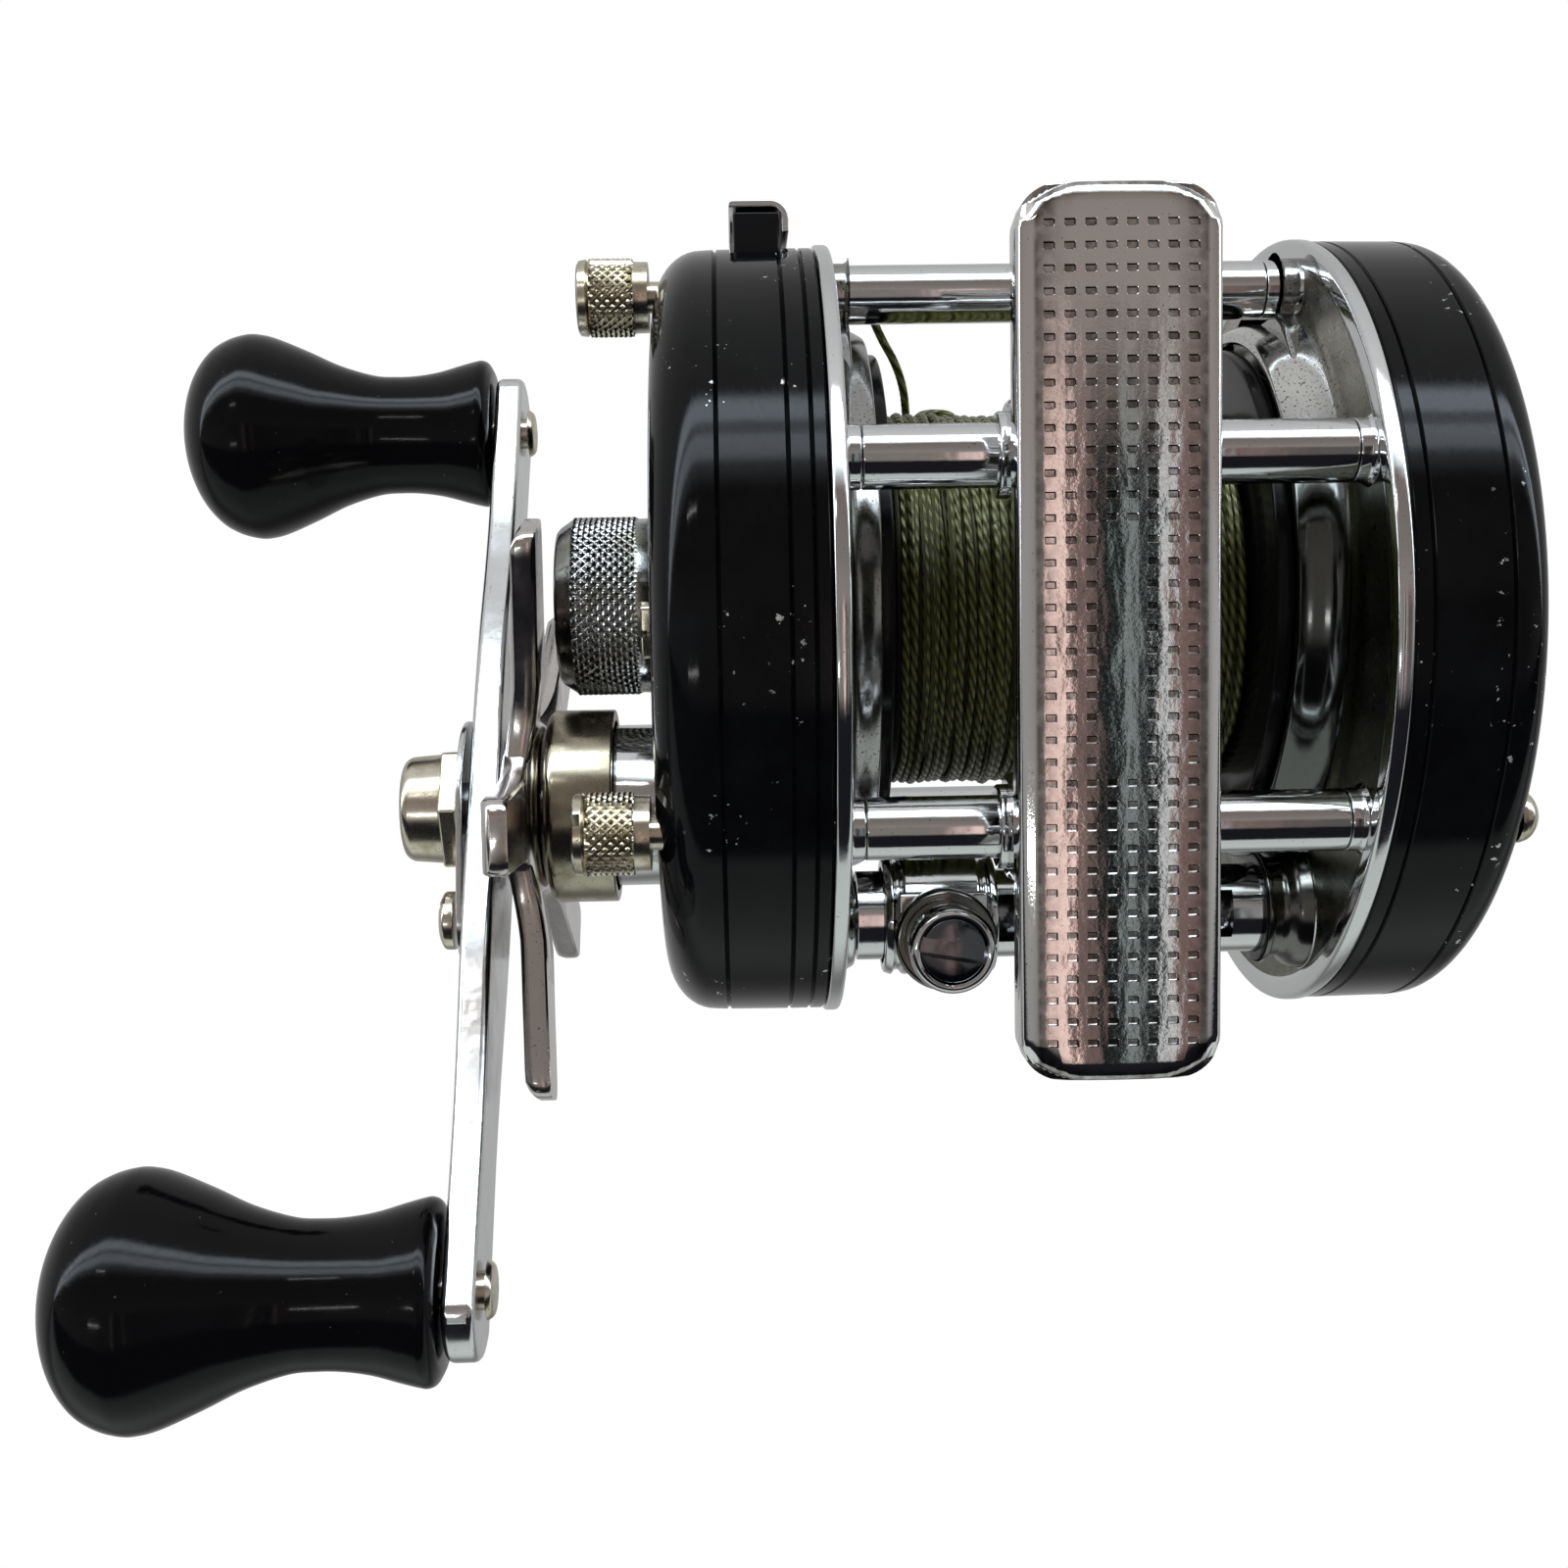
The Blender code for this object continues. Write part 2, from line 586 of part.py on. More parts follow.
def spool_parts(brass, steel, fibre):
    profile = [(-33.6, 0), (-33.6, 0.7), (-33.2, AXLE_R), (26.0, AXLE_R), (26.4, 0.7), (26.4, 0)]
    axle = turned("spool_axle", profile, SPOOL, steel, ROUND_SMALL)
    hub_x = SPOOL_RIGHT_X + 1.0 + GAP
    holder = tube("brake_block_holder", hub_x, hub_x + 2.4, AXLE_R + GAP, 3.4, SPOOL, brass, ROUND_MID)
    pins = rod("brake_pins", SPOOL_Y - 7.6, SPOOL_Y + 7.6, 0.45, (hub_x + 1.2, SPOOL_Z), brass, 10, axis="Y")
    join(holder, pins)
    cut(holder, rod("brake_axle_hole", hub_x - 5, hub_x + 5, AXLE_R + GAP, SPOOL, brass, ROUND_SMALL))
    blocks = []
    for name, side in (("brake_block_front", 1), ("brake_block_rear", -1)):
        near = SPOOL_Y + side * 4.1
        far = SPOOL_Y + side * 6.9
        blocks.append(tube(name, min(near, far), max(near, far), 0.45 + GAP, 1.15,
                           (hub_x + 1.2, SPOOL_Z), fibre, 14, axis="Y"))
    click = gear("click_gear", 21.0, 22.0, SPOOL, 12, 0.8, 0.0, AXLE_R + GAP, brass)
    return [axle, holder, click] + blocks


# ---------------------------------------------------------------- level wind
def worm_tube(mat):
    """Slotted tube round the worm, open along its underside."""
    left = CRANK_RING_X + 0.9 + GAP
    right = TAIL_RING_X - 0.9 - GAP
    body = tube("worm_tube", left, right, TUBE_BORE_R, TUBE_R, WORM, mat, ROUND_MID)
    half = TUBE_SLOT_WIDE / 2
    slot = block("worm_tube_slot", (-12.2, WORM_Y - half, WORM_Z - 6), (12.7, WORM_Y + half, WORM_Z), mat)
    return cut(body, slot)


def worm(steel):
    neck = WORM_NECK_R
    profile = [(-19.3, 0), (-19.3, neck), (-13.4, neck), (-13.4, WORM_R), (14.2, WORM_R), (14.2, neck),
               (18.6, neck), (18.6, 0)]
    return turned("worm", profile, WORM, steel, ROUND_MID)


def line_guide(mat):
    """Carriage: sleeve on the tube, pawl housing below and line eye above."""
    x0 = CARRIAGE_X - CARRIAGE_WIDE / 2
    x1 = CARRIAGE_X + CARRIAGE_WIDE / 2
    body = rod("line_guide", x0, x1, SLEEVE_R, WORM, mat, ROUND_MID)
    cap = (CARRIAGE_X, CAP_Y)
    housing = rod("guide_housing", WORM_Z - 6.4, WORM_Z - 1.0, 3.55, cap, mat, ROUND_MID, axis="Z")
    riser = block("guide_riser", (CARRIAGE_X - 3.4, WORM_Y - 1.5, WORM_Z + 3.0),
                  (CARRIAGE_X + 3.4, WORM_Y + 2.3, WORM_Z + 8.0), mat)
    eye_low = (CARRIAGE_X - 3.4, WORM_Y - 0.4, WORM_Z + 7.5)
    eye_high = (CARRIAGE_X + 3.4, WORM_Y + 1.4, WORM_Z + 19.0)
    eye = block("guide_eye", eye_low, eye_high, mat)
    join(body, housing, riser, eye)
    bore = rod("guide_bore", x0 - 3, x1 + 3, TUBE_R + GAP, WORM, mat, ROUND_MID)
    pawl_bore = rod("guide_pawl_bore", WORM_Z - 9, WORM_Z - 1, PAWL_R + GAP, (CARRIAGE_X, PAWL_Y), mat,
                    axis="Z")
    bar_bore = rod("guide_bar_bore", x0 - 3, x1 + 3, GUIDE_BAR_R + GAP, GUIDE_BAR, mat, ROUND_SMALL)
    window = block("guide_window", (CARRIAGE_X - 1.4, WORM_Y - 4, WORM_Z + 9.6),
                   (CARRIAGE_X + 1.4, WORM_Y + 5, WORM_Z + 17.4), mat)
    return cut(body, bore, pawl_bore, bar_bore, window)


def pawl_parts(chrome, steel):
    """Hollow screw cap and the stepped pawl that it keeps against the worm."""
    top = WORM_Z - 6.4 - GAP
    low = PLATE_Z - 19.2
    bore = CAP_Y - PAWL_Y + PAWL_HEAD_R + GAP
    profile = [(low, 0), (low, 2.6), (low + 0.35, 2.95), (top, 2.95), (top, bore), (low + 1.6, bore),
               (low + 1.6, 0)]
    cap = turned("pawl_cap", profile, (CARRIAGE_X, CAP_Y), chrome, ROUND_MID, axis="Z")
    profile = [(low + 1.6 + GAP, 0), (low + 1.6 + GAP, PAWL_HEAD_R), (top - 0.4, PAWL_HEAD_R),
               (top - 0.4, PAWL_R), (WORM_Z - WORM_R - GAP, PAWL_R * 0.6), (WORM_Z - WORM_R - GAP, 0)]
    pawl = turned("pawl", profile, (CARRIAGE_X, PAWL_Y), steel, ROUND_SMALL, axis="Z")
    return cap, pawl


# ---------------------------------------------------------------- crank and drag
def handle_arm(mat):
    """Flat arm with round ends, widest at the shaft, modelled level and then tilted."""
    y, z = CRANK
    half = 5.4
    neck = 3.6
    shape = arc((y + ARM_REACH, z), ARM_END_R, -90, 90, 10)
    waist = ARM_REACH - 8
    shape += [(y + waist, z + neck), (y + 9, z + half), (y - 9, z + half), (y - waist, z + neck)]
    shape += arc((y - ARM_REACH, z), ARM_END_R, 90, 270, 10)
    shape += [(y - waist, z - neck), (y - 9, z - half), (y + 9, z - half), (y + waist, z - neck)]
    arm = extruded("handle_arm", shape, ARM_OUTER_X, ARM_INNER_X, mat, (ARM_OUTER_X, y, z))
    cutters = [rod("arm_shaft_hole", -50, -30, SHAFT_R + GAP, CRANK, mat, ROUND_SMALL)]
    for side in (1, -1):
        cutters.append(rod("arm_pin_hole", -50, -30, KNOB_PIN_R + GAP, (y + side * ARM_REACH, z), mat, 12))
    cutters.append(rod("arm_lock_hole", -50, -30, LOCK_SCREW_R + GAP, (y + LOCK_REACH, z), mat, 12))
    return cut(arm, gather("arm_holes", cutters))


def knob(name, side, mat):
    """Waisted grip, bored from its base for the pin."""
    centre = (CRANK_Y + side * ARM_REACH, CRANK_Z)
    base = KNOB_BASE_X
    bore = KNOB_PIN_R + GAP
    profile = [(base - 22.0, 0), (base - 22.0, bore), (base, bore), (base, 5.3), (base - 0.9, 6.15),
               (base - 4.6, 5.25), (base - 8.3, 4.9), (base - 13.0, 5.9), (base - 18.2, 8.2),
               (base - 20.4, 8.5), (base - 23.2, 7.6), (base - 25.2, 5.0), (KNOB_END_X, 0)]
    return turned(name, profile, centre, mat, ROUND_MID)


def knob_pin(name, side, mat):
    centre = (CRANK_Y + side * ARM_REACH, CRANK_Z)
    end = KNOB_BASE_X - 21.6
    head = ARM_INNER_X + GAP
    profile = [(end, 0), (end, KNOB_PIN_R), (head, KNOB_PIN_R), (head, 2.0), (head + 0.5, 1.7),
               (head + 0.7, 0)]
    return turned(name, profile, centre, mat, 14)


def handle_nut(mat):
    """Hexagon with a round crown, closed at its outer end."""
    hex_x = ARM_OUTER_X - 1.0
    points = []
    for i in range(6):
        turn = math.pi / 3 * i
        points.append((CRANK_Y + 4.9 * math.cos(turn), CRANK_Z + 4.9 * math.sin(turn)))
    nut = extruded("handle_nut", points, hex_x - 1.3, hex_x, mat, (hex_x, CRANK_Y, CRANK_Z))
    profile = [(-47.6, 0), (-47.6, 3.7), (-47.2, 4.1), (hex_x - 0.9, 4.1), (hex_x - 0.9, 0)]
    crown = turned("nut_crown", profile, CRANK, mat, ROUND_MID)
    join(nut, crown)
    return cut(nut, rod("nut_bore", -47.0, -40.0, SHAFT_R + GAP, CRANK, mat, ROUND_SMALL))


def lock_plate(mat):
    x0 = ARM_OUTER_X - 0.75
    x1 = ARM_OUTER_X - GAP
    y, z = CRANK
    shape = arc((y + LOCK_REACH, z), 2.9, -70, 70, 6) + arc((y, z), 6.6, 55, 305, 14)
    plate = extruded("nut_lock_plate", shape, x0, x1, mat, (x0, y, z))
    return cut(plate, rod("lock_plate_bore", -50, -30, SHAFT_R + GAP, CRANK, mat, ROUND_SMALL),
               rod("lock_plate_screw_hole", -50, -30, LOCK_SCREW_R + GAP, (y + LOCK_REACH, z), mat, 12))


def lock_screw(mat):
    head = ARM_OUTER_X - 1.05
    centre = (CRANK_Y + LOCK_REACH, CRANK_Z)
    profile = [(head - 1.2, 0), (head - 1.2, 1.8), (head - 0.9, 2.15), (head, 2.15), (head, LOCK_SCREW_R),
               (ARM_INNER_X - GAP, LOCK_SCREW_R), (ARM_INNER_X - GAP, 0)]
    screw = turned("lock_plate_screw", profile, centre, mat, ROUND_SMALL)
    slot = block("lock_screw_slot", (head - 3, centre[0] - 3, centre[1] - 0.3),
                 (head - 0.7, centre[0] + 3, centre[1] + 0.3), mat)
    return cut(screw, slot)


def drive_shaft(mat):
    return rod("drive_shaft", -46.7, -16.9, SHAFT_R, CRANK, mat, 20)


def drive_shaft_boss(mat):
    """Chrome tube through the cover, flanged inside."""
    flange_x = CRANK_FACE_X + COVER_WALL + GAP
    profile = [(BOSS_END_X, BOSS_BORE_R), (BOSS_END_X, BOSS_R), (flange_x, BOSS_R), (flange_x, 7.4),
               (flange_x + 0.7, 7.4), (flange_x + 0.7, BOSS_BORE_R)]
    return turned("drive_shaft_boss", profile, CRANK, mat, ROUND_MID, closed=True)


def drive_shaft_bush(mat):
    x1 = CRANK_RING_X - RING_THICK - 0.45
    return tube("drive_shaft_bush", x1 - 0.7, x1, SHAFT_R + GAP, BUSH_R - GAP, CRANK, mat)


def star_sleeve(mat):
    """Cup over the boss, with the tube that presses on the drag washers."""
    profile = [(-36.6, SHAFT_R + GAP), (-36.6, 6.9), (-36.2, 7.3), (-31.6, 7.3), (-31.6, BOSS_R + 0.35),
               (-35.2, BOSS_R + 0.35), (-35.2, 3.2), (-24.6, 3.2), (-24.6, SHAFT_R + GAP)]
    return turned("star_sleeve", profile, CRANK, mat, ROUND_MID, closed=True)


def star_drag(mat):
    """Hub with bent arms; the one that points at the foot is bent the least."""
    hub_profile = [(STAR_FACE, 0), (STAR_FACE, 3.5), (STAR_FACE + 0.35, 6.0), (-37.8, 6.6), (-36.9, 6.0),
                   (-36.9, 0)]
    hub = turned("star_drag", hub_profile, CRANK, mat, ROUND_SPOOL)
    sections = [(3.0, 0.1, 3.4), (6.0, 0.4, 3.3), (8.0, 0.7, 3.2), (10.5, 1.05, 3.05), (13.0, 1.2, 2.9),
                (STAR_R - 0.7, 1.5, 2.6), (STAR_R, 1.5, 1.9)]
    arms = []
    for i in range(STAR_ARMS):
        turn = -math.pi / 2 + 2 * math.pi * i / STAR_ARMS
        out = Vector((math.cos(turn), math.sin(turn)))
        side = Vector((-out.y, out.x))
        bend = STAR_LEAST_BEND if i == 0 else 1.0
        verts = []
        for reach, drop, half in sections:
            for dx, ds in ((0, -half), (0, half), (STAR_THICK, half), (STAR_THICK, -half)):
                point = Vector(CRANK) + out * reach + side * ds
                verts.append((STAR_FACE + drop * bend + dx, point.x, point.y))
        faces = [(0, 1, 2, 3), tuple(len(verts) - 4 + k for k in range(4))]
        for s in range(len(sections) - 1):
            for k in range(4):
                after = (k + 1) % 4
                faces.append((4 * s + k, 4 * s + after, 4 * s + 4 + after, 4 * s + 4 + k))
        arms.append(make_object("star_arm_%d" % i, verts, faces, mat))
    join(hub, *arms)
    return cut(hub, rod("star_bore", -45, -30, SHAFT_R + GAP, CRANK, mat, ROUND_SMALL))


# ---------------------------------------------------------------- caps, screws, buttons
def cast_control_cap(mat):
    end = -35.7
    open_x = -28.5
    profile = [(end + 1.2, 0), (end + 1.2, NECK_R + 0.35), (open_x, NECK_R + 0.35), (open_x, 6.7),
               (end + 1.2, 6.7), (end, 5.9), (end, 0)]
    return turned("cast_control_cap", profile, SPOOL, mat, ROUND_MID)


def thumbscrew(key, mat):
    centre = pillar_place(key)
    tip = CRANK_RING_X + 4.5
    seat = CRANK_FACE_X - GAP
    profile = [(-33.1, 0), (-33.1, 2.5), (-32.9, 2.7), (-29.2, 2.7), (-29.2, 2.45), (seat, 2.45),
               (seat, THREAD_R), (tip, THREAD_R), (tip, 0)]
    return turned("thumbscrew_" + key, profile, centre, mat, ROUND_SMALL)


def tail_screw(key, mat):
    centre = pillar_place(key)
    face = TAIL_FACE_X + GAP
    tip = TAIL_RING_X - 4.5
    profile = [(tip, 0), (tip, THREAD_R), (face, THREAD_R), (face, 1.75), (face + 0.55, 1.6),
               (face + 1.0, 1.1), (face + 1.2, 0)]
    return turned("tail_screw_" + key, profile, centre, mat, 12)


def free_spool_parts(chrome, black):
    """Bent chrome thumb piece and the black slide that carries it."""
    x0 = SLIDE_X0 - 0.3
    x1 = SLIDE_X1 + 0.7
    low = (x0, BUTTON_Y, SLIDE_Z0)
    high = (x1, BUTTON_Y + BUTTON_WALL, SLIDE_Z1 + 1.5)
    button = block("free_spool_button", low, high, chrome)
    corner = (x1, BUTTON_Y + 2.3, SLIDE_Z1 + 1.5)
    wing = block("button_wing", (x1 - BUTTON_WALL, BUTTON_Y + 0.2, SLIDE_Z0), corner, chrome)
    top = block("button_top", (x0, BUTTON_Y + 0.2, SLIDE_Z1 + 0.7), corner, chrome)
    join(button, wing, top)
    slide_low = (SLIDE_X0, BUTTON_Y + BUTTON_WALL + GAP, SLIDE_Z0)
    slide_high = (SLIDE_X1, PLATE_Y - 26.4, SLIDE_Z1)
    slide = block("button_slide", slide_low, slide_high, black)
    return button, slide


def click_button(mat):
    """Round button outside the tail cover and the pawl it carries inside."""
    face = TAIL_FACE_X
    inside = face - COVER_WALL - GAP
    centre = (CLICK_Y, CLICK_Z)
    profile = [(inside - 0.8, 0), (inside - 0.8, 2.4), (inside, 2.4), (inside, 1.05), (face + GAP, 1.05),
               (face + GAP, 2.4), (face + 1.3, 2.1), (face + 1.6, 1.4), (face + 1.7, 0)]
    button = turned("click_button", profile, centre, mat, 20)
    tip = SPOOL_Z - 5.2 - CLICK_TRAVEL - 0.6
    pawl = block("click_pawl", (21.1, CLICK_Y - 0.6, CLICK_Z - 1.2), (21.9, CLICK_Y + 0.6, tip), mat)
    arm_low = (21.5, CLICK_Y - 0.6, CLICK_Z - 1.2)
    arm = block("click_pawl_arm", arm_low, (inside - 0.4, CLICK_Y + 0.6, CLICK_Z + 0.6), mat)
    return join(button, pawl, arm)


# ---------------------------------------------------------------- loose line
def strand_route():
    """The loose end: over the top of the line pack, then straight to its knot behind the rear pillar."""
    pack_r = LINE_R + GAP + LINE_WIDE / 2
    hold_r = PILLAR_R + GAP + LINE_WIDE / 2 + STRAND_SPARE
    turn = math.radians(STRAND_HOLD)
    hold = Vector(pillar_place("rear_upper")) + hold_r * Vector((math.cos(turn), math.sin(turn)))
    leave = heading(SPOOL, hold) - math.acos(pack_r / distance(SPOOL, hold))
    start = Vector(SPOOL) + pack_r * Vector((math.cos(leave), math.sin(leave)))
    points = []
    for i in range(STRAND_LEAD):
        back = 1 - i / STRAND_LEAD
        turn = leave - math.radians(STRAND_OVER) * back
        place = Vector(SPOOL) + pack_r * Vector((math.cos(turn), math.sin(turn)))
        points.append((STRAND_X[0] + 0.9 * back, place.x, place.y))
    for i, x in enumerate(STRAND_X):
        place = start.lerp(hold, i / (len(STRAND_X) - 1))
        points.append((x, place.x, place.y))
    return points


def smooth_route(points, count):
    """Even points on a smooth curve through the route."""
    samples = []
    last = len(points) - 1
    for i in range(last):
        before = Vector(points[max(i - 1, 0)])
        here = Vector(points[i])
        there = Vector(points[i + 1])
        after = Vector(points[min(i + 2, last)])
        for k in range(12):
            t = k / 12
            bend = (2 * before - 5 * here + 4 * there - after) * t ** 2
            twist = (3 * here - before - 3 * there + after) * t ** 3
            samples.append(0.5 * (2 * here + (there - before) * t + bend + twist))
    samples.append(Vector(points[-1]))
    run = [0.0]
    for a, b in zip(samples, samples[1:]):
        run.append(run[-1] + (b - a).length)
    even = []
    for i in range(count):
        want = run[-1] * i / (count - 1)
        k = max(j for j in range(len(run)) if run[j] <= want + 1e-9)
        k = min(k, len(run) - 2)
        part = (want - run[k]) / (run[k + 1] - run[k])
        even.append(samples[k].lerp(samples[k + 1], part))
    return even


def loose_line(mat):
    even = smooth_route(strand_route(), 34)
    curve = bpy.data.curves.new("loose_line", "CURVE")
    curve.dimensions = "3D"
    curve.bevel_depth = LINE_WIDE / 2 * MM
    curve.bevel_resolution = 2
    curve.use_fill_caps = True
    spline = curve.splines.new("POLY")
    spline.points.add(len(even) - 1)
    for point, place in zip(spline.points, even):
        point.co = (*(place * MM), 1.0)
    curve.materials.append(mat)
    obj = bpy.data.objects.new("loose_line", curve)
    bpy.context.collection.objects.link(obj)


def build():
    clear_scene()
    chrome = finish("polished_chrome", (0.72, 0.73, 0.74), 0.12, 1.0)
    nickel = finish("warm_nickel", (0.62, 0.56, 0.46), 0.28, 1.0)
    black = finish("black_enamel", (0.012, 0.012, 0.014), 0.18, 0.0)
    plastic = finish("black_plastic", (0.010, 0.010, 0.011), 0.22, 0.0)
    brass = finish("brass", (0.66, 0.47, 0.19), 0.3, 1.0)
    steel = finish("steel", (0.45, 0.45, 0.46), 0.3, 1.0)
    fibre = finish("fibre", (0.30, 0.12, 0.06), 0.7, 0.0)
    braid = finish("green_braid", (0.13, 0.14, 0.05), 0.6, 0.0)

    frame_ring("frame_ring_handle_side", CRANK_RING_X, CRANK_CUP_X, -1, chrome, 1.3)
    frame_ring("frame_ring_tail_side", TAIL_RING_X, TAIL_CUP_X, 1, chrome, 1.3)
    for key in PILLAR_ANGLES:
        pillar(key, chrome)
    reel_foot(chrome)
    handle_side_cover(black)
    tail_side_cover(black)
    gear_plate(steel)
    drive_shaft_boss(chrome)
    drive_shaft_bush(brass)
    tube("spool_bearing_handle_side", -30.6, -28.6, AXLE_R + GAP, NECK_BORE_R - GAP, SPOOL, steel, ROUND_MID)
    tube("spool_bearing_tail_side", 24.4, 26.2, AXLE_R + GAP, NECK_BORE_R - GAP, SPOOL, steel, ROUND_MID)
    tube("brake_drum", 16.0, 19.6, 8.3, 9.4, SPOOL, steel, ROUND_MID)
    tube("worm_bush_tail_side", 14.6, 16.2, 1.0 + GAP, TUBE_BORE_R - GAP, WORM, brass, ROUND_SMALL)

    main, pinion, cog, worm_gear = gear_train(brass, steel)
    wheel = ratchet_wheel(-20.1, -19.1, steel)
    washer_inner = tube("drag_washer_fibre", -23.5, -22.9, SHAFT_R + GAP, 8.5, CRANK, fibre, ROUND_MID)
    washer_outer = tube("drag_washer_steel", -24.3, -23.8, SHAFT_R + GAP, 8.5, CRANK, steel, ROUND_MID)
    clutch_yoke(steel)
    anti_reverse_dog(steel)
    spool(plastic)
    line_pack(braid)
    spool_parts(brass, steel, fibre)
    worm_tube(chrome)
    worm(steel)
    rod("carriage_guide_bar", CRANK_RING_X + GAP, TAIL_RING_X - GAP, GUIDE_BAR_R, GUIDE_BAR, chrome, 14)
    line_guide(chrome)
    pawl_parts(chrome, steel)

    shaft_marker = empty("crank_axis", ARM_OUTER_X, CRANK)
    hang(shaft_marker, main, cog, wheel, washer_inner, washer_outer, drive_shaft(steel))
    arm_marker = empty("crank_arm_tilt", ARM_OUTER_X, CRANK, ARM_TILT)
    arm_pieces = [handle_arm(chrome), lock_plate(chrome), lock_screw(nickel), handle_nut(nickel)]
    for name, side in (("near", 1), ("far", -1)):
        arm_pieces.append(knob("knob_" + name, side, plastic))
        arm_pieces.append(knob_pin("knob_pin_" + name, side, nickel))
    hang(arm_marker, *arm_pieces)
    star_marker = empty("star_axis", ARM_INNER_X, CRANK)
    hang(star_marker, star_drag(chrome), star_sleeve(nickel))

    cast_control_cap(chrome)
    for key in SCREWED_PILLARS:
        thumbscrew(key, nickel)
        tail_screw(key, nickel)
    free_spool_parts(chrome, black)
    click_button(chrome)
    loose_line(braid)


build()
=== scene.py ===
"""Looks of the round baitcasting reel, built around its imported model.

Lengths are millimetres in the model's own frame: the foot's flat face at Z = 0, +Y towards
the rod tip and +X towards the plate without a crank. Every mesh is written in metres, in
world coordinates, so that its object stays at the origin.
"""
import json
import math
import random

import bmesh
import bpy
from mathutils import Matrix, Vector, noise


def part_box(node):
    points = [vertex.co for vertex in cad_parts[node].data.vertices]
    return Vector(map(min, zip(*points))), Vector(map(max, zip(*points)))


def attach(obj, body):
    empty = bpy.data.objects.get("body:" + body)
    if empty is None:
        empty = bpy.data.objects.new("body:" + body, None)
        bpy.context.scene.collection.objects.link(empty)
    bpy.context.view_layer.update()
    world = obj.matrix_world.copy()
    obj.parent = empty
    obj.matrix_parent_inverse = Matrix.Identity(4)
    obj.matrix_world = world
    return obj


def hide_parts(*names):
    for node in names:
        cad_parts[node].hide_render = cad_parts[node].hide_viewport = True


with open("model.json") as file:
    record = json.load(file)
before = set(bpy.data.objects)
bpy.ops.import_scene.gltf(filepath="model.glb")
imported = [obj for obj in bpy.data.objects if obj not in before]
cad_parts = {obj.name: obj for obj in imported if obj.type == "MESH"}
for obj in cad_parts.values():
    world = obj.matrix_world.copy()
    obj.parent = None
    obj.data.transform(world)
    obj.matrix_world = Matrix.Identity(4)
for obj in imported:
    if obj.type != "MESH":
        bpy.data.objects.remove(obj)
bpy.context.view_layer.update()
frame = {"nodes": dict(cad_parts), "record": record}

MM = 0.001
RING_STEPS = 160               # facets round the large turned pieces
ROD_STEPS = 64                 # facets round the small ones
SMOOTH = math.radians(32)      # edges sharper than this stay sharp
KNURL_SMOOTH = math.radians(60)


# ---------------------------------------------------------------- places, read from the frame
def joint(name, key):
    """One of a joint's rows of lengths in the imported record."""
    for entry in frame["record"]["behaviour"]["joints"]:
        if entry["name"] == name:
            return [length / MM for length in entry[key]]
    raise ValueError("no joint named " + name)


def joint_centre(name):
    """Y and Z of a hinge's axis."""
    return tuple(joint(name, "pos_m")[1:])


def span(node, axis):
    """The lowest and highest place of a node along an axis, 0 for X."""
    low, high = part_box(node)
    return (low[axis] / MM, high[axis] / MM)


def middle(node):
    """Y and Z of the middle of a node."""
    return (sum(span(node, 1)) / 2, sum(span(node, 2)) / 2)


SPOOL = joint_centre("spool_spin")
CRANK = joint_centre("handle_spin")
WORM = joint_centre("worm_spin")
KNOB_NEAR = joint_centre("knob_front_spin")
KNOB_FAR = joint_centre("knob_rear_spin")
PLATE = middle("gear_plate")
PILLARS = {}
for key in ("rear_upper", "rear_lower", "front_lower", "front_upper"):
    PILLARS[key] = middle("pillar_" + key)
SCREWED = ("rear_upper", "front_lower", "front_upper")
TILT = math.atan2(KNOB_NEAR[1] - CRANK[1], KNOB_NEAR[0] - CRANK[0])
PLATE_R = (span("frame_ring_tail_side", 1)[1] - span("frame_ring_tail_side", 1)[0]) / 2
CRANK_RING = (-16.35, -15.25)  # outer and inner faces of the crank-side ring
TAIL_RING = (19.1, 18.0)       # and of the other ring
COVER_GAP = 0.08               # between each ring and its cover
COVER_WALL = 1.2
CARRIAGE_X = sum(span("pawl_cap", 0)) / 2
CARRIAGE_HALF = 4.0            # half the length of the carriage's sleeve
FOOT_X = sum(span("reel_foot", 0)) / 2


# ---------------------------------------------------------------- material nodes
class Tree:
    """A set of nodes, with short calls for the ones used most."""

    def __init__(self, owner):
        owner.use_nodes = True
        self.nodes = owner.node_tree.nodes
        self.links = owner.node_tree.links

    def link(self, output, socket):
        """Joins one node's output to another's input."""
        self.links.new(output, socket)

    def feed(self, socket, value):
        """Links an output to an input, or sets the input to a constant."""
        if hasattr(value, "links"):
            self.link(value, socket)
        else:
            socket.default_value = value

    def sum(self, kind, first, second=0.0):
        """One step of arithmetic."""
        node = self.nodes.new("ShaderNodeMath")
        node.operation = kind
        self.feed(node.inputs[0], first)
        self.feed(node.inputs[1], second)
        return node.outputs["Value"]

    def fade(self, value, low, high, start=0.0, stop=1.0):
        """Maps low..high to start..stop, held at both ends."""
        node = self.nodes.new("ShaderNodeMapRange")
        self.link(value, node.inputs["Value"])
        names = ("From Min", "From Max", "To Min", "To Max")
        for socket, number in zip(names, (low, high, start, stop)):
            node.inputs[socket].default_value = number
        return node.outputs["Result"]

    def mix(self, amount, first, second):
        """A colour between two, by an amount from 0 to 1."""
        node = self.nodes.new("ShaderNodeMix")
        node.data_type = "RGBA"
        self.link(amount, node.inputs["Factor"])
        for socket, value in ((node.inputs[6], first), (node.inputs[7], second)):
            self.feed(socket, value if hasattr(value, "links") else (*value, 1.0))
        return node.outputs[2]


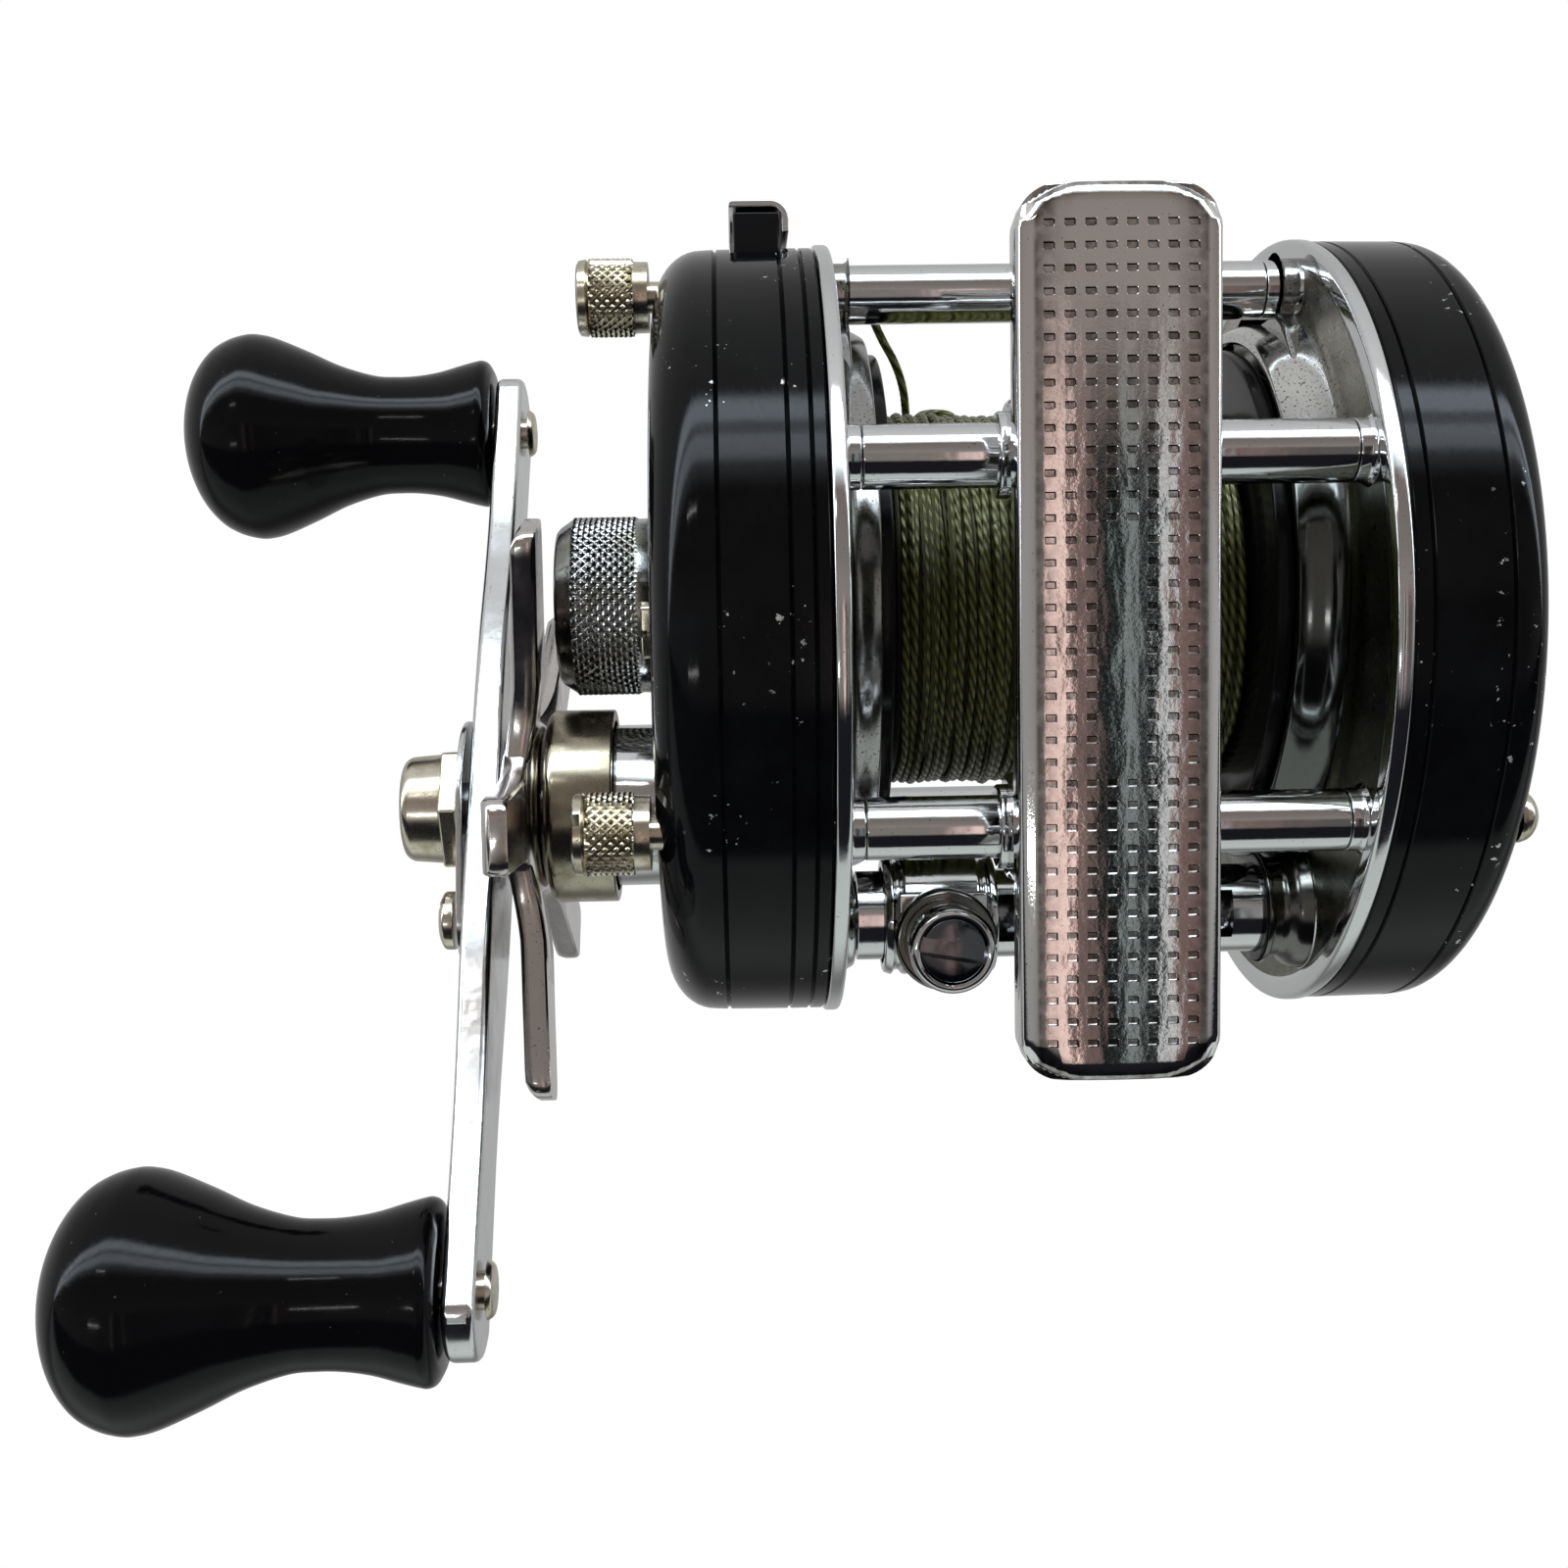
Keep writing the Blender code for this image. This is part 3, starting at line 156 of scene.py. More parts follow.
class Graph(Tree):
    """One material's nodes."""

    def __init__(self, name, colour, roughness, metallic):
        self.mat = bpy.data.materials.new(name)
        super().__init__(self.mat)
        self.mat.diffuse_color = (*colour, 1.0)
        self.shader = self.nodes["Principled BSDF"]
        self.put("Base Color", (*colour, 1.0))
        self.put("Roughness", roughness)
        self.put("Metallic", metallic)
        place = self.nodes.new("ShaderNodeTexCoord")
        self.here = self.spread(place.outputs["Object"], (1000.0, 1000.0, 1000.0))
        self.uv = place.outputs["UV"]

    def put(self, socket, value):
        """Sets one of the shader's inputs, from a number, a colour or a node's output."""
        self.feed(self.shader.inputs[socket], value)

    def spread(self, vector, scale):
        """A place stretched by a scale for each axis."""
        node = self.nodes.new("ShaderNodeMapping")
        node.inputs["Scale"].default_value = scale
        self.link(vector, node.inputs["Vector"])
        return node.outputs["Vector"]

    def noise(self, scale, detail=3.0, rough=0.55, vector=None, kind="FBM"):
        """Cloudy noise, at a scale for each millimetre."""
        node = self.nodes.new("ShaderNodeTexNoise")
        node.noise_type = kind
        node.inputs["Scale"].default_value = scale
        node.inputs["Detail"].default_value = detail
        node.inputs["Roughness"].default_value = rough
        self.link(vector or self.here, node.inputs["Vector"])
        return node.outputs["Fac"]

    def along(self, axis):
        """The place along X, Y or Z, in millimetres."""
        node = self.nodes.new("ShaderNodeSeparateXYZ")
        self.link(self.here, node.inputs["Vector"])
        return node.outputs[axis]

    def bump(self, height, strength, distance):
        """Adds a height, in millimetres, to the bumps already there."""
        node = self.nodes.new("ShaderNodeBump")
        node.inputs["Strength"].default_value = strength
        node.inputs["Distance"].default_value = distance * MM
        self.link(height, node.inputs["Height"])
        normal = self.shader.inputs["Normal"]
        if normal.is_linked:
            self.link(normal.links[0].from_socket, node.inputs["Normal"])
        self.link(node.outputs["Normal"], normal)


def chrome(name, tint=(0.63, 0.64, 0.645), pits=0.0, rough=0.05, waves=0.25, back=None):
    """Polished plate: faint waves, hairline scratches, smudges and, where worn, pits. With a tint
    for the back, the plate behind the spool is painted paler than the rest, a painted reflection."""
    g = Graph(name, tint, rough, 1.0)
    smudge = g.noise(0.35, 4.0, 0.6)
    hair = g.noise(2.2, 5.0, 0.7, g.spread(g.here, (1.0, 6.0, 6.0)))
    g.put("Roughness", g.sum("ADD", g.fade(smudge, 0.35, 0.75, rough, rough + 0.10),
                             g.fade(hair, 0.55, 0.8, 0.0, 0.08)))
    speck = g.noise(5.5, 2.0, 0.5)
    mark = g.fade(speck, 0.70 - 0.10 * pits, 0.76 - 0.10 * pits)
    if back:
        # painted reflection: paler behind the spool, towards -Y
        tint = g.mix(g.fade(g.along("Y"), -17.0, -11.0), back, tint)
    g.put("Base Color", g.mix(mark, tint, (0.10, 0.10, 0.09)))
    g.bump(g.noise(0.5, 2.0), waves, 0.05)
    g.bump(hair, 0.10, 0.01)
    if pits:
        g.bump(mark, -0.5 * pits, 0.03)
    return g.mat


def inner_plate():
    """The rings' inner faces: dull and olive where the spool turns, paler towards the back."""
    g = Graph("ring_inner_plate", (0.10, 0.10, 0.07), 0.30, 1.0)
    back = g.fade(g.along("Y"), -17.0, -10.0, 1.0, 0.0)
    speck = g.fade(g.noise(4.5, 3.0), 0.58, 0.66)
    base = g.mix(back, (0.10, 0.10, 0.07), (0.40, 0.38, 0.34))
    g.put("Base Color", g.mix(speck, base, (0.05, 0.05, 0.04)))
    g.put("Roughness", g.fade(g.noise(1.1, 4.0), 0.3, 0.7, 0.24, 0.38))
    g.bump(speck, -0.4, 0.03)
    g.bump(g.noise(0.7, 2.0), 0.3, 0.05)
    return g.mat


def foot_chrome():
    """The foot's plate: finely rippled chrome with painted shade in its pits, none on its raised rim."""
    g = Graph("foot_chrome", (0.74, 0.73, 0.72), 0.09, 1.0)
    ripple = g.noise(4.5, 3.0, 0.6)
    broad = g.noise(0.6, 2.0, 0.5, g.spread(g.here, (1.0, 0.35, 1.0)))
    deep = g.fade(g.along("Z"), 0.05, 0.16)
    high = g.fade(g.along("Z"), 0.9, 1.0)
    off = g.sum("ABSOLUTE", g.sum("SUBTRACT", g.along("X"), FOOT_X))
    flat = g.fade(off, 4.9, 5.1, 1.0, 0.0)
    # painted shade: dark in the pits, unevenly, and kept off the rim and the sides
    pit = g.sum("MULTIPLY", g.sum("MULTIPLY", deep, flat), g.sum("SUBTRACT", 1.0, high))
    pit_painted_shade = g.sum("MULTIPLY", pit, g.fade(g.noise(1.3), 0.3, 0.6, 0.3, 0.85))
    speck = g.fade(g.noise(7.0, 2.0), 0.70, 0.74)
    base = g.mix(pit_painted_shade, (0.74, 0.73, 0.72), (0.10, 0.09, 0.08))
    g.put("Base Color", g.mix(speck, base, (0.16, 0.14, 0.12)))
    g.put("Roughness", g.fade(ripple, 0.3, 0.7, 0.03, 0.08))
    g.bump(ripple, 0.12, 0.02)
    g.bump(broad, 0.35, 0.05)
    return g.mat


def nickel(name="warm_nickel", clean=(0.66, 0.62, 0.52), tarnish=(0.42, 0.37, 0.26)):
    """Worn warm plate, browner where it has tarnished."""
    g = Graph(name, clean, 0.24, 1.0)
    stain = g.fade(g.noise(0.45, 5.0, 0.65), 0.42, 0.68)
    speck = g.fade(g.noise(6.0, 2.0), 0.66, 0.72)
    base = g.mix(stain, clean, tarnish)
    g.put("Base Color", g.mix(speck, base, (0.16, 0.12, 0.08)))
    g.put("Roughness", g.sum("ADD", g.fade(stain, 0.0, 1.0, 0.18, 0.30), g.fade(speck, 0.0, 1.0, 0.0, 0.2)))
    g.bump(g.noise(3.0, 4.0), 0.18, 0.02)
    return g.mat


def knurled_chrome():
    """Knurled plate: bright raised points over dirt, greenish where it is tarnished."""
    g = Graph("knurled_chrome", (0.46, 0.47, 0.47), 0.16, 1.0)
    patch = g.fade(g.noise(0.28, 3.0), 0.5, 0.62)
    speck = g.fade(g.noise(3.5, 3.0), 0.6, 0.68)
    base = g.mix(g.sum("MULTIPLY", patch, 0.6), (0.46, 0.47, 0.47), (0.22, 0.23, 0.16))
    g.put("Base Color", g.mix(speck, base, (0.16, 0.16, 0.13)))
    g.put("Roughness", g.fade(patch, 0.0, 1.0, 0.14, 0.32))
    g.bump(g.noise(5.0, 3.0), 0.3, 0.03)
    return g.mat


def enamel(name, bands, reach):
    """Gloss black paint, chipped to bright metal in clusters along the turned edges."""
    g = Graph(name, (0.007, 0.008, 0.009), 0.14, 0.0)
    chip = g.fade(g.noise(1.5, 3.0, 0.62), 0.665, 0.675)
    cluster = g.fade(g.noise(0.13, 2.0), 0.55, 0.60)
    near = None
    for x in bands:
        away = g.sum("ABSOLUTE", g.sum("SUBTRACT", g.along("X"), x))
        band = g.fade(away, 0.25, reach, 1.0, 0.0)
        near = band if near is None else g.sum("MAXIMUM", near, band)
    where = g.sum("MULTIPLY", g.sum("MULTIPLY", chip, cluster), g.fade(near, 0.05, 0.35))
    dust = g.sum("MULTIPLY", g.fade(g.noise(3.1, 2.0), 0.79, 0.80), 0.6)
    bare = g.sum("MAXIMUM", where, dust)
    film = g.fade(g.noise(0.22, 5.0, 0.65), 0.3, 0.8)
    paint = g.mix(film, (0.003, 0.003, 0.004), (0.007, 0.008, 0.009))
    g.put("Base Color", g.mix(bare, paint, (0.66, 0.67, 0.66)))
    g.put("Metallic", g.sum("MULTIPLY", bare, 0.55))
    scuff = g.noise(1.6, 5.0, 0.7, g.spread(g.here, (4.0, 1.0, 1.0)))
    g.put("Roughness", g.sum("ADD", g.fade(scuff, 0.4, 0.75, 0.06, 0.16), g.sum("MULTIPLY", bare, 0.25)))
    g.put("Specular IOR Level", 0.12)
    g.bump(g.noise(0.9, 3.0), 0.10, 0.03)
    g.bump(bare, -0.6, 0.06)
    return g.mat


def gloss_plastic(name, colour=(0.004, 0.004, 0.005), rough=0.09):
    """Moulded gloss black, with faint handling scratches."""
    g = Graph(name, colour, rough, 0.0)
    hair = g.noise(1.3, 6.0, 0.75, g.spread(g.here, (1.0, 5.0, 2.0)))
    speck = g.fade(g.noise(2.4, 2.0), 0.76, 0.775)
    g.put("Base Color", g.mix(speck, colour, (0.12, 0.12, 0.11)))
    g.put("Roughness", g.fade(hair, 0.45, 0.78, rough, rough + 0.16))
    g.put("Specular IOR Level", 0.12)
    g.bump(hair, 0.05, 0.01)
    return g.mat


def turned_metal(name, colour, rough):
    """Machined metal with fine turning marks round the X axis."""
    g = Graph(name, colour, rough, 1.0)
    marks = g.noise(6.0, 3.0, 0.6, g.spread(g.here, (3.0, 0.15, 0.15)))
    oil = g.fade(g.noise(0.5, 4.0, 0.6), 0.4, 0.7)
    dull = tuple(0.55 * part for part in colour)
    g.put("Base Color", g.mix(oil, colour, dull))
    g.put("Roughness", g.fade(marks, 0.3, 0.7, rough - 0.06, rough + 0.12))
    g.bump(marks, 0.25, 0.02)
    return g.mat


def fibre():
    """Reddish pressed fibre of the drag washers and brake blocks."""
    g = Graph("pressed_fibre", (0.30, 0.12, 0.06), 0.75, 0.0)
    weave = g.noise(4.0, 5.0, 0.7)
    g.put("Base Color", g.mix(weave, (0.20, 0.07, 0.03), (0.40, 0.18, 0.09)))
    g.bump(weave, 0.6, 0.05)
    return g.mat


def braid(name="olive_braid"):
    """Waxed braided line: plaits across each strand with painted shade in their grooves, strands that
    differ in tone, and painted light that makes it paler towards -Y.
    """
    g = Graph(name, (0.16, 0.17, 0.045), 0.5, 0.0)
    plait = g.nodes.new("ShaderNodeTexWave")
    plait.wave_type = "BANDS"
    plait.bands_direction = "DIAGONAL"
    plait.inputs["Scale"].default_value = 1.0
    plait.inputs["Distortion"].default_value = 0.8
    plait.inputs["Detail"].default_value = 2.0
    g.link(g.uv, plait.inputs["Vector"])
    ply = plait.outputs["Fac"]
    shade = g.fade(g.noise(0.55, 4.0, 0.6, g.spread(g.here, (3.0, 0.6, 0.6))), 0.3, 0.7)
    body = g.mix(shade, (0.045, 0.048, 0.010), (0.165, 0.168, 0.045))
    # painted shade: darker in the plaits' grooves
    body = g.mix(g.fade(ply, 0.15, 0.85), (0.014, 0.015, 0.004), body)
    # painted light: paler towards -Y and darker towards +Y
    painted_light_side = g.fade(g.along("Y"), -13.0, -6.0)
    pale = g.mix(g.fade(ply, 0.15, 0.85), (0.05, 0.052, 0.014), (0.34, 0.35, 0.12))
    g.put("Base Color", g.mix(painted_light_side, pale, body))
    g.put("Roughness", g.fade(ply, 0.0, 1.0, 0.48, 0.27))
    g.put("Specular IOR Level", 0.75)
    g.put("Specular Tint", (0.80, 0.82, 0.55, 1.0))
    g.bump(ply, 0.8, 0.06)
    g.bump(g.noise(9.0, 3.0), 0.4, 0.03)
    return g.mat


def make_materials():
    """Every finish, by the short name that the pieces use."""
    return {
        "chrome": chrome("polished_chrome"),
        "cup": chrome("pitted_chrome", (0.32, 0.32, 0.31), pits=1.0, rough=0.15, waves=0.35),
        "plate": inner_plate(),
        "housing": chrome("dull_chrome", (0.16, 0.16, 0.15), pits=0.6, rough=0.12),
        "black_chrome": chrome("black_chrome", (0.12, 0.13, 0.14), pits=0.3, rough=0.09),
        # the tail cup's dark tint is painted shade, and its pale tint at the back a painted reflection
        "tail_cup": chrome("chrome_painted_shade_and_reflection", (0.11, 0.115, 0.11), pits=1.0, rough=0.10, back=(0.58, 0.58, 0.56)),
        "arm": chrome("satin_chrome", (0.66, 0.67, 0.675), pits=0.3, rough=0.14, waves=0.5),
        "star": chrome("star_chrome", (0.60, 0.57, 0.55), pits=0.4, rough=0.12, waves=0.4),
        "foot": foot_chrome(),
        "cap": knurled_chrome(),
        "nickel": nickel(),
        "sleeve": nickel("olive_nickel", (0.40, 0.37, 0.285), (0.25, 0.22, 0.145)),
        "crank_cover": enamel("enamel_crank_side", (-27.2, -23.36, -18.94, -17.46), 1.6),
        "tail_cover": enamel("enamel_tail_side", (20.34, 25.36, 27.4), 1.3),
        "knob": gloss_plastic("knob_black"),
        "spool": gloss_plastic("spool_black", (0.008, 0.008, 0.009), 0.16),
        "dark": gloss_plastic("gloss_black_metal", (0.010, 0.011, 0.013), 0.10),
        "brass": turned_metal("machined_brass", (0.66, 0.46, 0.18), 0.28),
        "steel": turned_metal("turned_steel", (0.46, 0.46, 0.47), 0.30),
        "fibre": fibre(),
        "braid": braid(),
    }


# ---------------------------------------------------------------- mesh tools
def rounded(points, closed=False, size=2):
    """Replaces each corner that states a radius by a short curve.

    A point holds size numbers, and may hold a radius after them."""
    count = len(points)
    result = []
    for i, point in enumerate(points):
        here = Vector(point[:size])
        radius = point[size] if len(point) > size else 0.0
        if radius <= 0.0 or (not closed and i in (0, count - 1)):
            result.append(tuple(here))
            continue
        before = Vector(points[i - 1][:size]) - here
        after = Vector(points[(i + 1) % count][:size]) - here
        reach = min(radius, 0.49 * before.length, 0.49 * after.length)
        start = here + before.normalized() * reach
        stop = here + after.normalized() * reach
        for k in range(6):
            t = k / 5
            result.append(tuple((1 - t) ** 2 * start + 2 * t * (1 - t) * here + t * t * stop))
    return result


def polar(centre, radius, turn):
    """The place at a radius and a turn, in radians, about a centre."""
    return (centre[0] + radius * math.cos(turn), centre[1] + radius * math.sin(turn))


def directions(turn):
    """Unit vectors outward at a turn, in radians, and across it."""
    out = Vector((math.cos(turn), math.sin(turn)))
    return out, Vector((-out.y, out.x))


def smooth_open(points, parts=5):
    """An open smooth curve through the points, with parts steps for each stretch."""
    result = []
    last = len(points) - 1
    for i in range(last):
        a, b, c, d = (Vector(points[min(max(i + k - 1, 0), last)]) for k in range(4))
        for k in range(parts):
            t = k / parts
            bend = (2 * a - 5 * b + 4 * c - d) * t ** 2
            twist = (3 * b - a - 3 * c + d) * t ** 3
            result.append(tuple(0.5 * (2 * b + (c - a) * t + bend + twist)))
    result.append(points[-1])
    return result


def new_piece(name, verts, faces, mat, uvs=None):
    """A smooth-shaded object from millimetre points; uvs holds one pair for each point."""
    mesh = bpy.data.meshes.new(name)
    mesh.from_pydata([(x * MM, y * MM, z * MM) for x, y, z in verts], [], faces)
    mesh.materials.append(mat)
    if uvs:
        layer = mesh.uv_layers.new(name="along")
        for loop in mesh.loops:
            layer.data[loop.index].uv = uvs[loop.vertex_index]
    mesh.shade_smooth()
    mesh.set_sharp_from_angle(angle=SMOOTH)
    mesh.validate()
    obj = bpy.data.objects.new(name, mesh)
    bpy.context.collection.objects.link(obj)
    return obj


def at(axis, centre, along, side, up):
    """A point on a piece that runs along X or Z, beside its centre line."""
    if axis == "X":
        return (along, centre[0] + side, centre[1] + up)
    return (centre[0] + side, centre[1] + up, along)


def lathe(name, profile, centre, mat, steps=ROD_STEPS, axis="X", closed=False, field=None):
    """Turned piece from (along, radius) points, joined end to end when closed. A field adds to
    the radius at (along, turn)."""
    verts = []
    rings = []
    for along, radius in profile:
        if radius < 1e-6:
            rings.append([len(verts)])
            verts.append(at(axis, centre, along, 0.0, 0.0))
            continue
        ring = []
        for step in range(steps):
            turn = 2 * math.pi * step / steps
            reach = radius + (field(along, turn) if field else 0.0)
            ring.append(len(verts))
            verts.append(at(axis, centre, along, reach * math.cos(turn), reach * math.sin(turn)))
        rings.append(ring)
    pairs = list(zip(rings, rings[1:]))
    if closed:
        pairs.append((rings[-1], rings[0]))
    faces = []
    for first, second in pairs:
        for step in range(steps):
            after = (step + 1) % steps
            if len(first) == 1 and len(second) == 1:
                continue
            if len(first) == 1:
                face = (first[0], second[after], second[step])
            elif len(second) == 1:
                face = (first[step], first[after], second[0])
            else:
                face = (first[step], first[after], second[after], second[step])
            faces.append(face)
    obj = new_piece(name, verts, faces, mat)
    if closed:
        tidy_normals(obj)
    return obj


def knurl(low, high, count, pitch, depth):
    """A field of small raised diamonds between low and high."""
    def field(along, turn):
        if along < low or along > high:
            return 0.0
        first = count * turn / (2 * math.pi) + along / pitch
        second = count * turn / (2 * math.pi) - along / pitch
        near = min(abs(first - round(first)), abs(second - round(second)))
        return depth * min(1.0, near / 0.34) - depth
    return field


def rectangle(low_a, low_b, high_a, high_b):
    """The outline between two opposite corners."""
    return [(low_a, low_b), (high_a, low_b), (high_a, high_b), (low_a, high_b)]


def slab(name, outline, low, high, mat, bevel=0.3, axis="X"):
    """A flat outline carried from low to high, with rounded edges."""
    count = len(outline)
    verts = [at(axis, (0.0, 0.0), depth, a, b) for depth in (low, high) for a, b in outline]
    faces = [tuple(range(count))[::-1], tuple(range(count, 2 * count))]
    for i in range(count):
        j = (i + 1) % count
        faces.append((i, j, count + j, count + i))
    obj = new_piece(name, verts, faces, mat)
    tidy_normals(obj)
    if bevel:
        soften(obj, bevel)
    return obj


def tidy_normals(obj):
    """Turns every face outward."""
    work = bmesh.new()
    work.from_mesh(obj.data)
    bmesh.ops.recalc_face_normals(work, faces=work.faces)
    work.to_mesh(obj.data)
    work.free()


def soften(obj, width, segments=3):
    """Rounds the edges that are sharper than 28 degrees."""
    mod = obj.modifiers.new("soft_edges", "BEVEL")
    mod.width = width * MM
    mod.segments = segments
    mod.limit_method = "ANGLE"
    mod.angle_limit = math.radians(28)
    mod.harden_normals = True


def sweep(name, path, radius, sides, mat, twist=0.0, capped=True):
    """A round strand along a path, with UVs that run along it and round it in millimetres."""
    points = [Vector(p) for p in path]
    tangent = (points[1] - points[0]).normalized()
    across = tangent.orthogonal().normalized()
    verts = []
    uvs = []
    run = 0.0
    for i, here in enumerate(points):
        ahead = points[min(i + 1, len(points) - 1)] - points[max(i - 1, 0)]
        tangent = ahead.normalized()
        across = (across - tangent * across.dot(tangent)).normalized()
        up = tangent.cross(across)
        if i:
            run += (here - points[i - 1]).length
        for k in range(sides):
            turn = 2 * math.pi * k / sides + twist * run
            verts.append(tuple(here + (across * math.cos(turn) + up * math.sin(turn)) * radius))
            uvs.append((run * 0.55, k / sides * 2.0))
    faces = []
    for i in range(len(points) - 1):
        for k in range(sides):
            after = (k + 1) % sides
            a = i * sides
            faces.append((a + k, a + after, a + sides + after, a + sides + k))
    if capped:
        faces.append(tuple(range(sides))[::-1])
        last = (len(points) - 1) * sides
        faces.append(tuple(range(last, last + sides)))
    return new_piece(name, verts, faces, mat, uvs)


def merge(name, pieces):
    """Joins several objects into one, keeping their materials."""
    for piece in pieces:
        if piece.modifiers:
            apply_modifiers(piece)
    bpy.ops.object.select_all(action="DESELECT")
    for piece in pieces:
        piece.select_set(True)
    bpy.context.view_layer.objects.active = pieces[0]
    bpy.ops.object.join()
    pieces[0].name = name
    pieces[0].data.name = name
    return pieces[0]


def apply_modifiers(obj):
    """Leaves the object with the mesh that its modifiers make."""
    graph = bpy.context.evaluated_depsgraph_get()
    mesh = bpy.data.meshes.new_from_object(obj.evaluated_get(graph))
    obj.modifiers.clear()
    obj.data = mesh


def slot_tool(centre, turn, half_long, half_wide, low, high, mat, axis="X"):
    """A bar across a round face, at an angle, for cutting a screwdriver's slot."""
    along, side = directions(turn)
    outline = []
    for s, t in rectangle(-half_long, -half_wide, half_long, half_wide):
        point = Vector(centre) + along * s + side * t
        outline.append((point.x, point.y))
    return slab("slot_tool", outline, low, high, mat, bevel=0, axis=axis)


def carve(obj, cutter):
    """Cuts a closed tool out of a piece and removes the tool."""
    mod = obj.modifiers.new("cut", "BOOLEAN")
    mod.operation = "DIFFERENCE"
    mod.object = cutter
    apply_modifiers(obj)
    obj.data.set_sharp_from_angle(angle=SMOOTH)
    bpy.data.objects.remove(cutter, do_unlink=True)


def settle(obj, body, slot_name, *nodes):
    """Rides a piece on its body, in the place of its nodes."""
    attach(obj, body)
    if nodes:
        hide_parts(*nodes)


def turned(name, points, centre, mat, steps, body, slot_name, *nodes, closed=False):
    """A turned piece with rounded corners, settled on its body."""
    profile = rounded(points, closed=closed)[::-1]
    settle(lathe(name, profile, centre, mat, steps, closed=closed), body, slot_name, *nodes)


# ---------------------------------------------------------------- camera, light and floor
CAMERA_AT = (-22.475, -0.448, -101.66)
LOOK_AT = (-18.874, 10.771, 33.5)
CAMERA_ROLL = math.radians(1.002)
LENS = 40.446                  # on a sensor 36 mm wide


def add_camera():
    """The view of the main picture, from below the foot with +Y downward."""
    data = bpy.data.cameras.new("camera")
    data.lens = LENS
    data.sensor_width = 36.0
    data.clip_start = 0.004
    camera = bpy.data.objects.new("camera", data)
    ahead = (Vector(LOOK_AT) - Vector(CAMERA_AT)).normalized()
    up = Vector((0.0, -1.0, 0.0))
    up = (up - ahead * up.dot(ahead)).normalized()
    up = Matrix.Rotation(CAMERA_ROLL, 3, ahead) @ up
    right = ahead.cross(up)
    turn = Matrix((right, up, -ahead)).transposed().to_4x4()
    camera.matrix_world = Matrix.Translation(Vector(CAMERA_AT) * MM) @ turn
    bpy.context.collection.objects.link(camera)
    bpy.context.scene.camera = camera


FOOT_VIEW = 0.2135             # X part of the direction that the middle of the foot reflects
FOOT_VIEW_STEP = 0.0326        # and its change for each millimetre across the foot


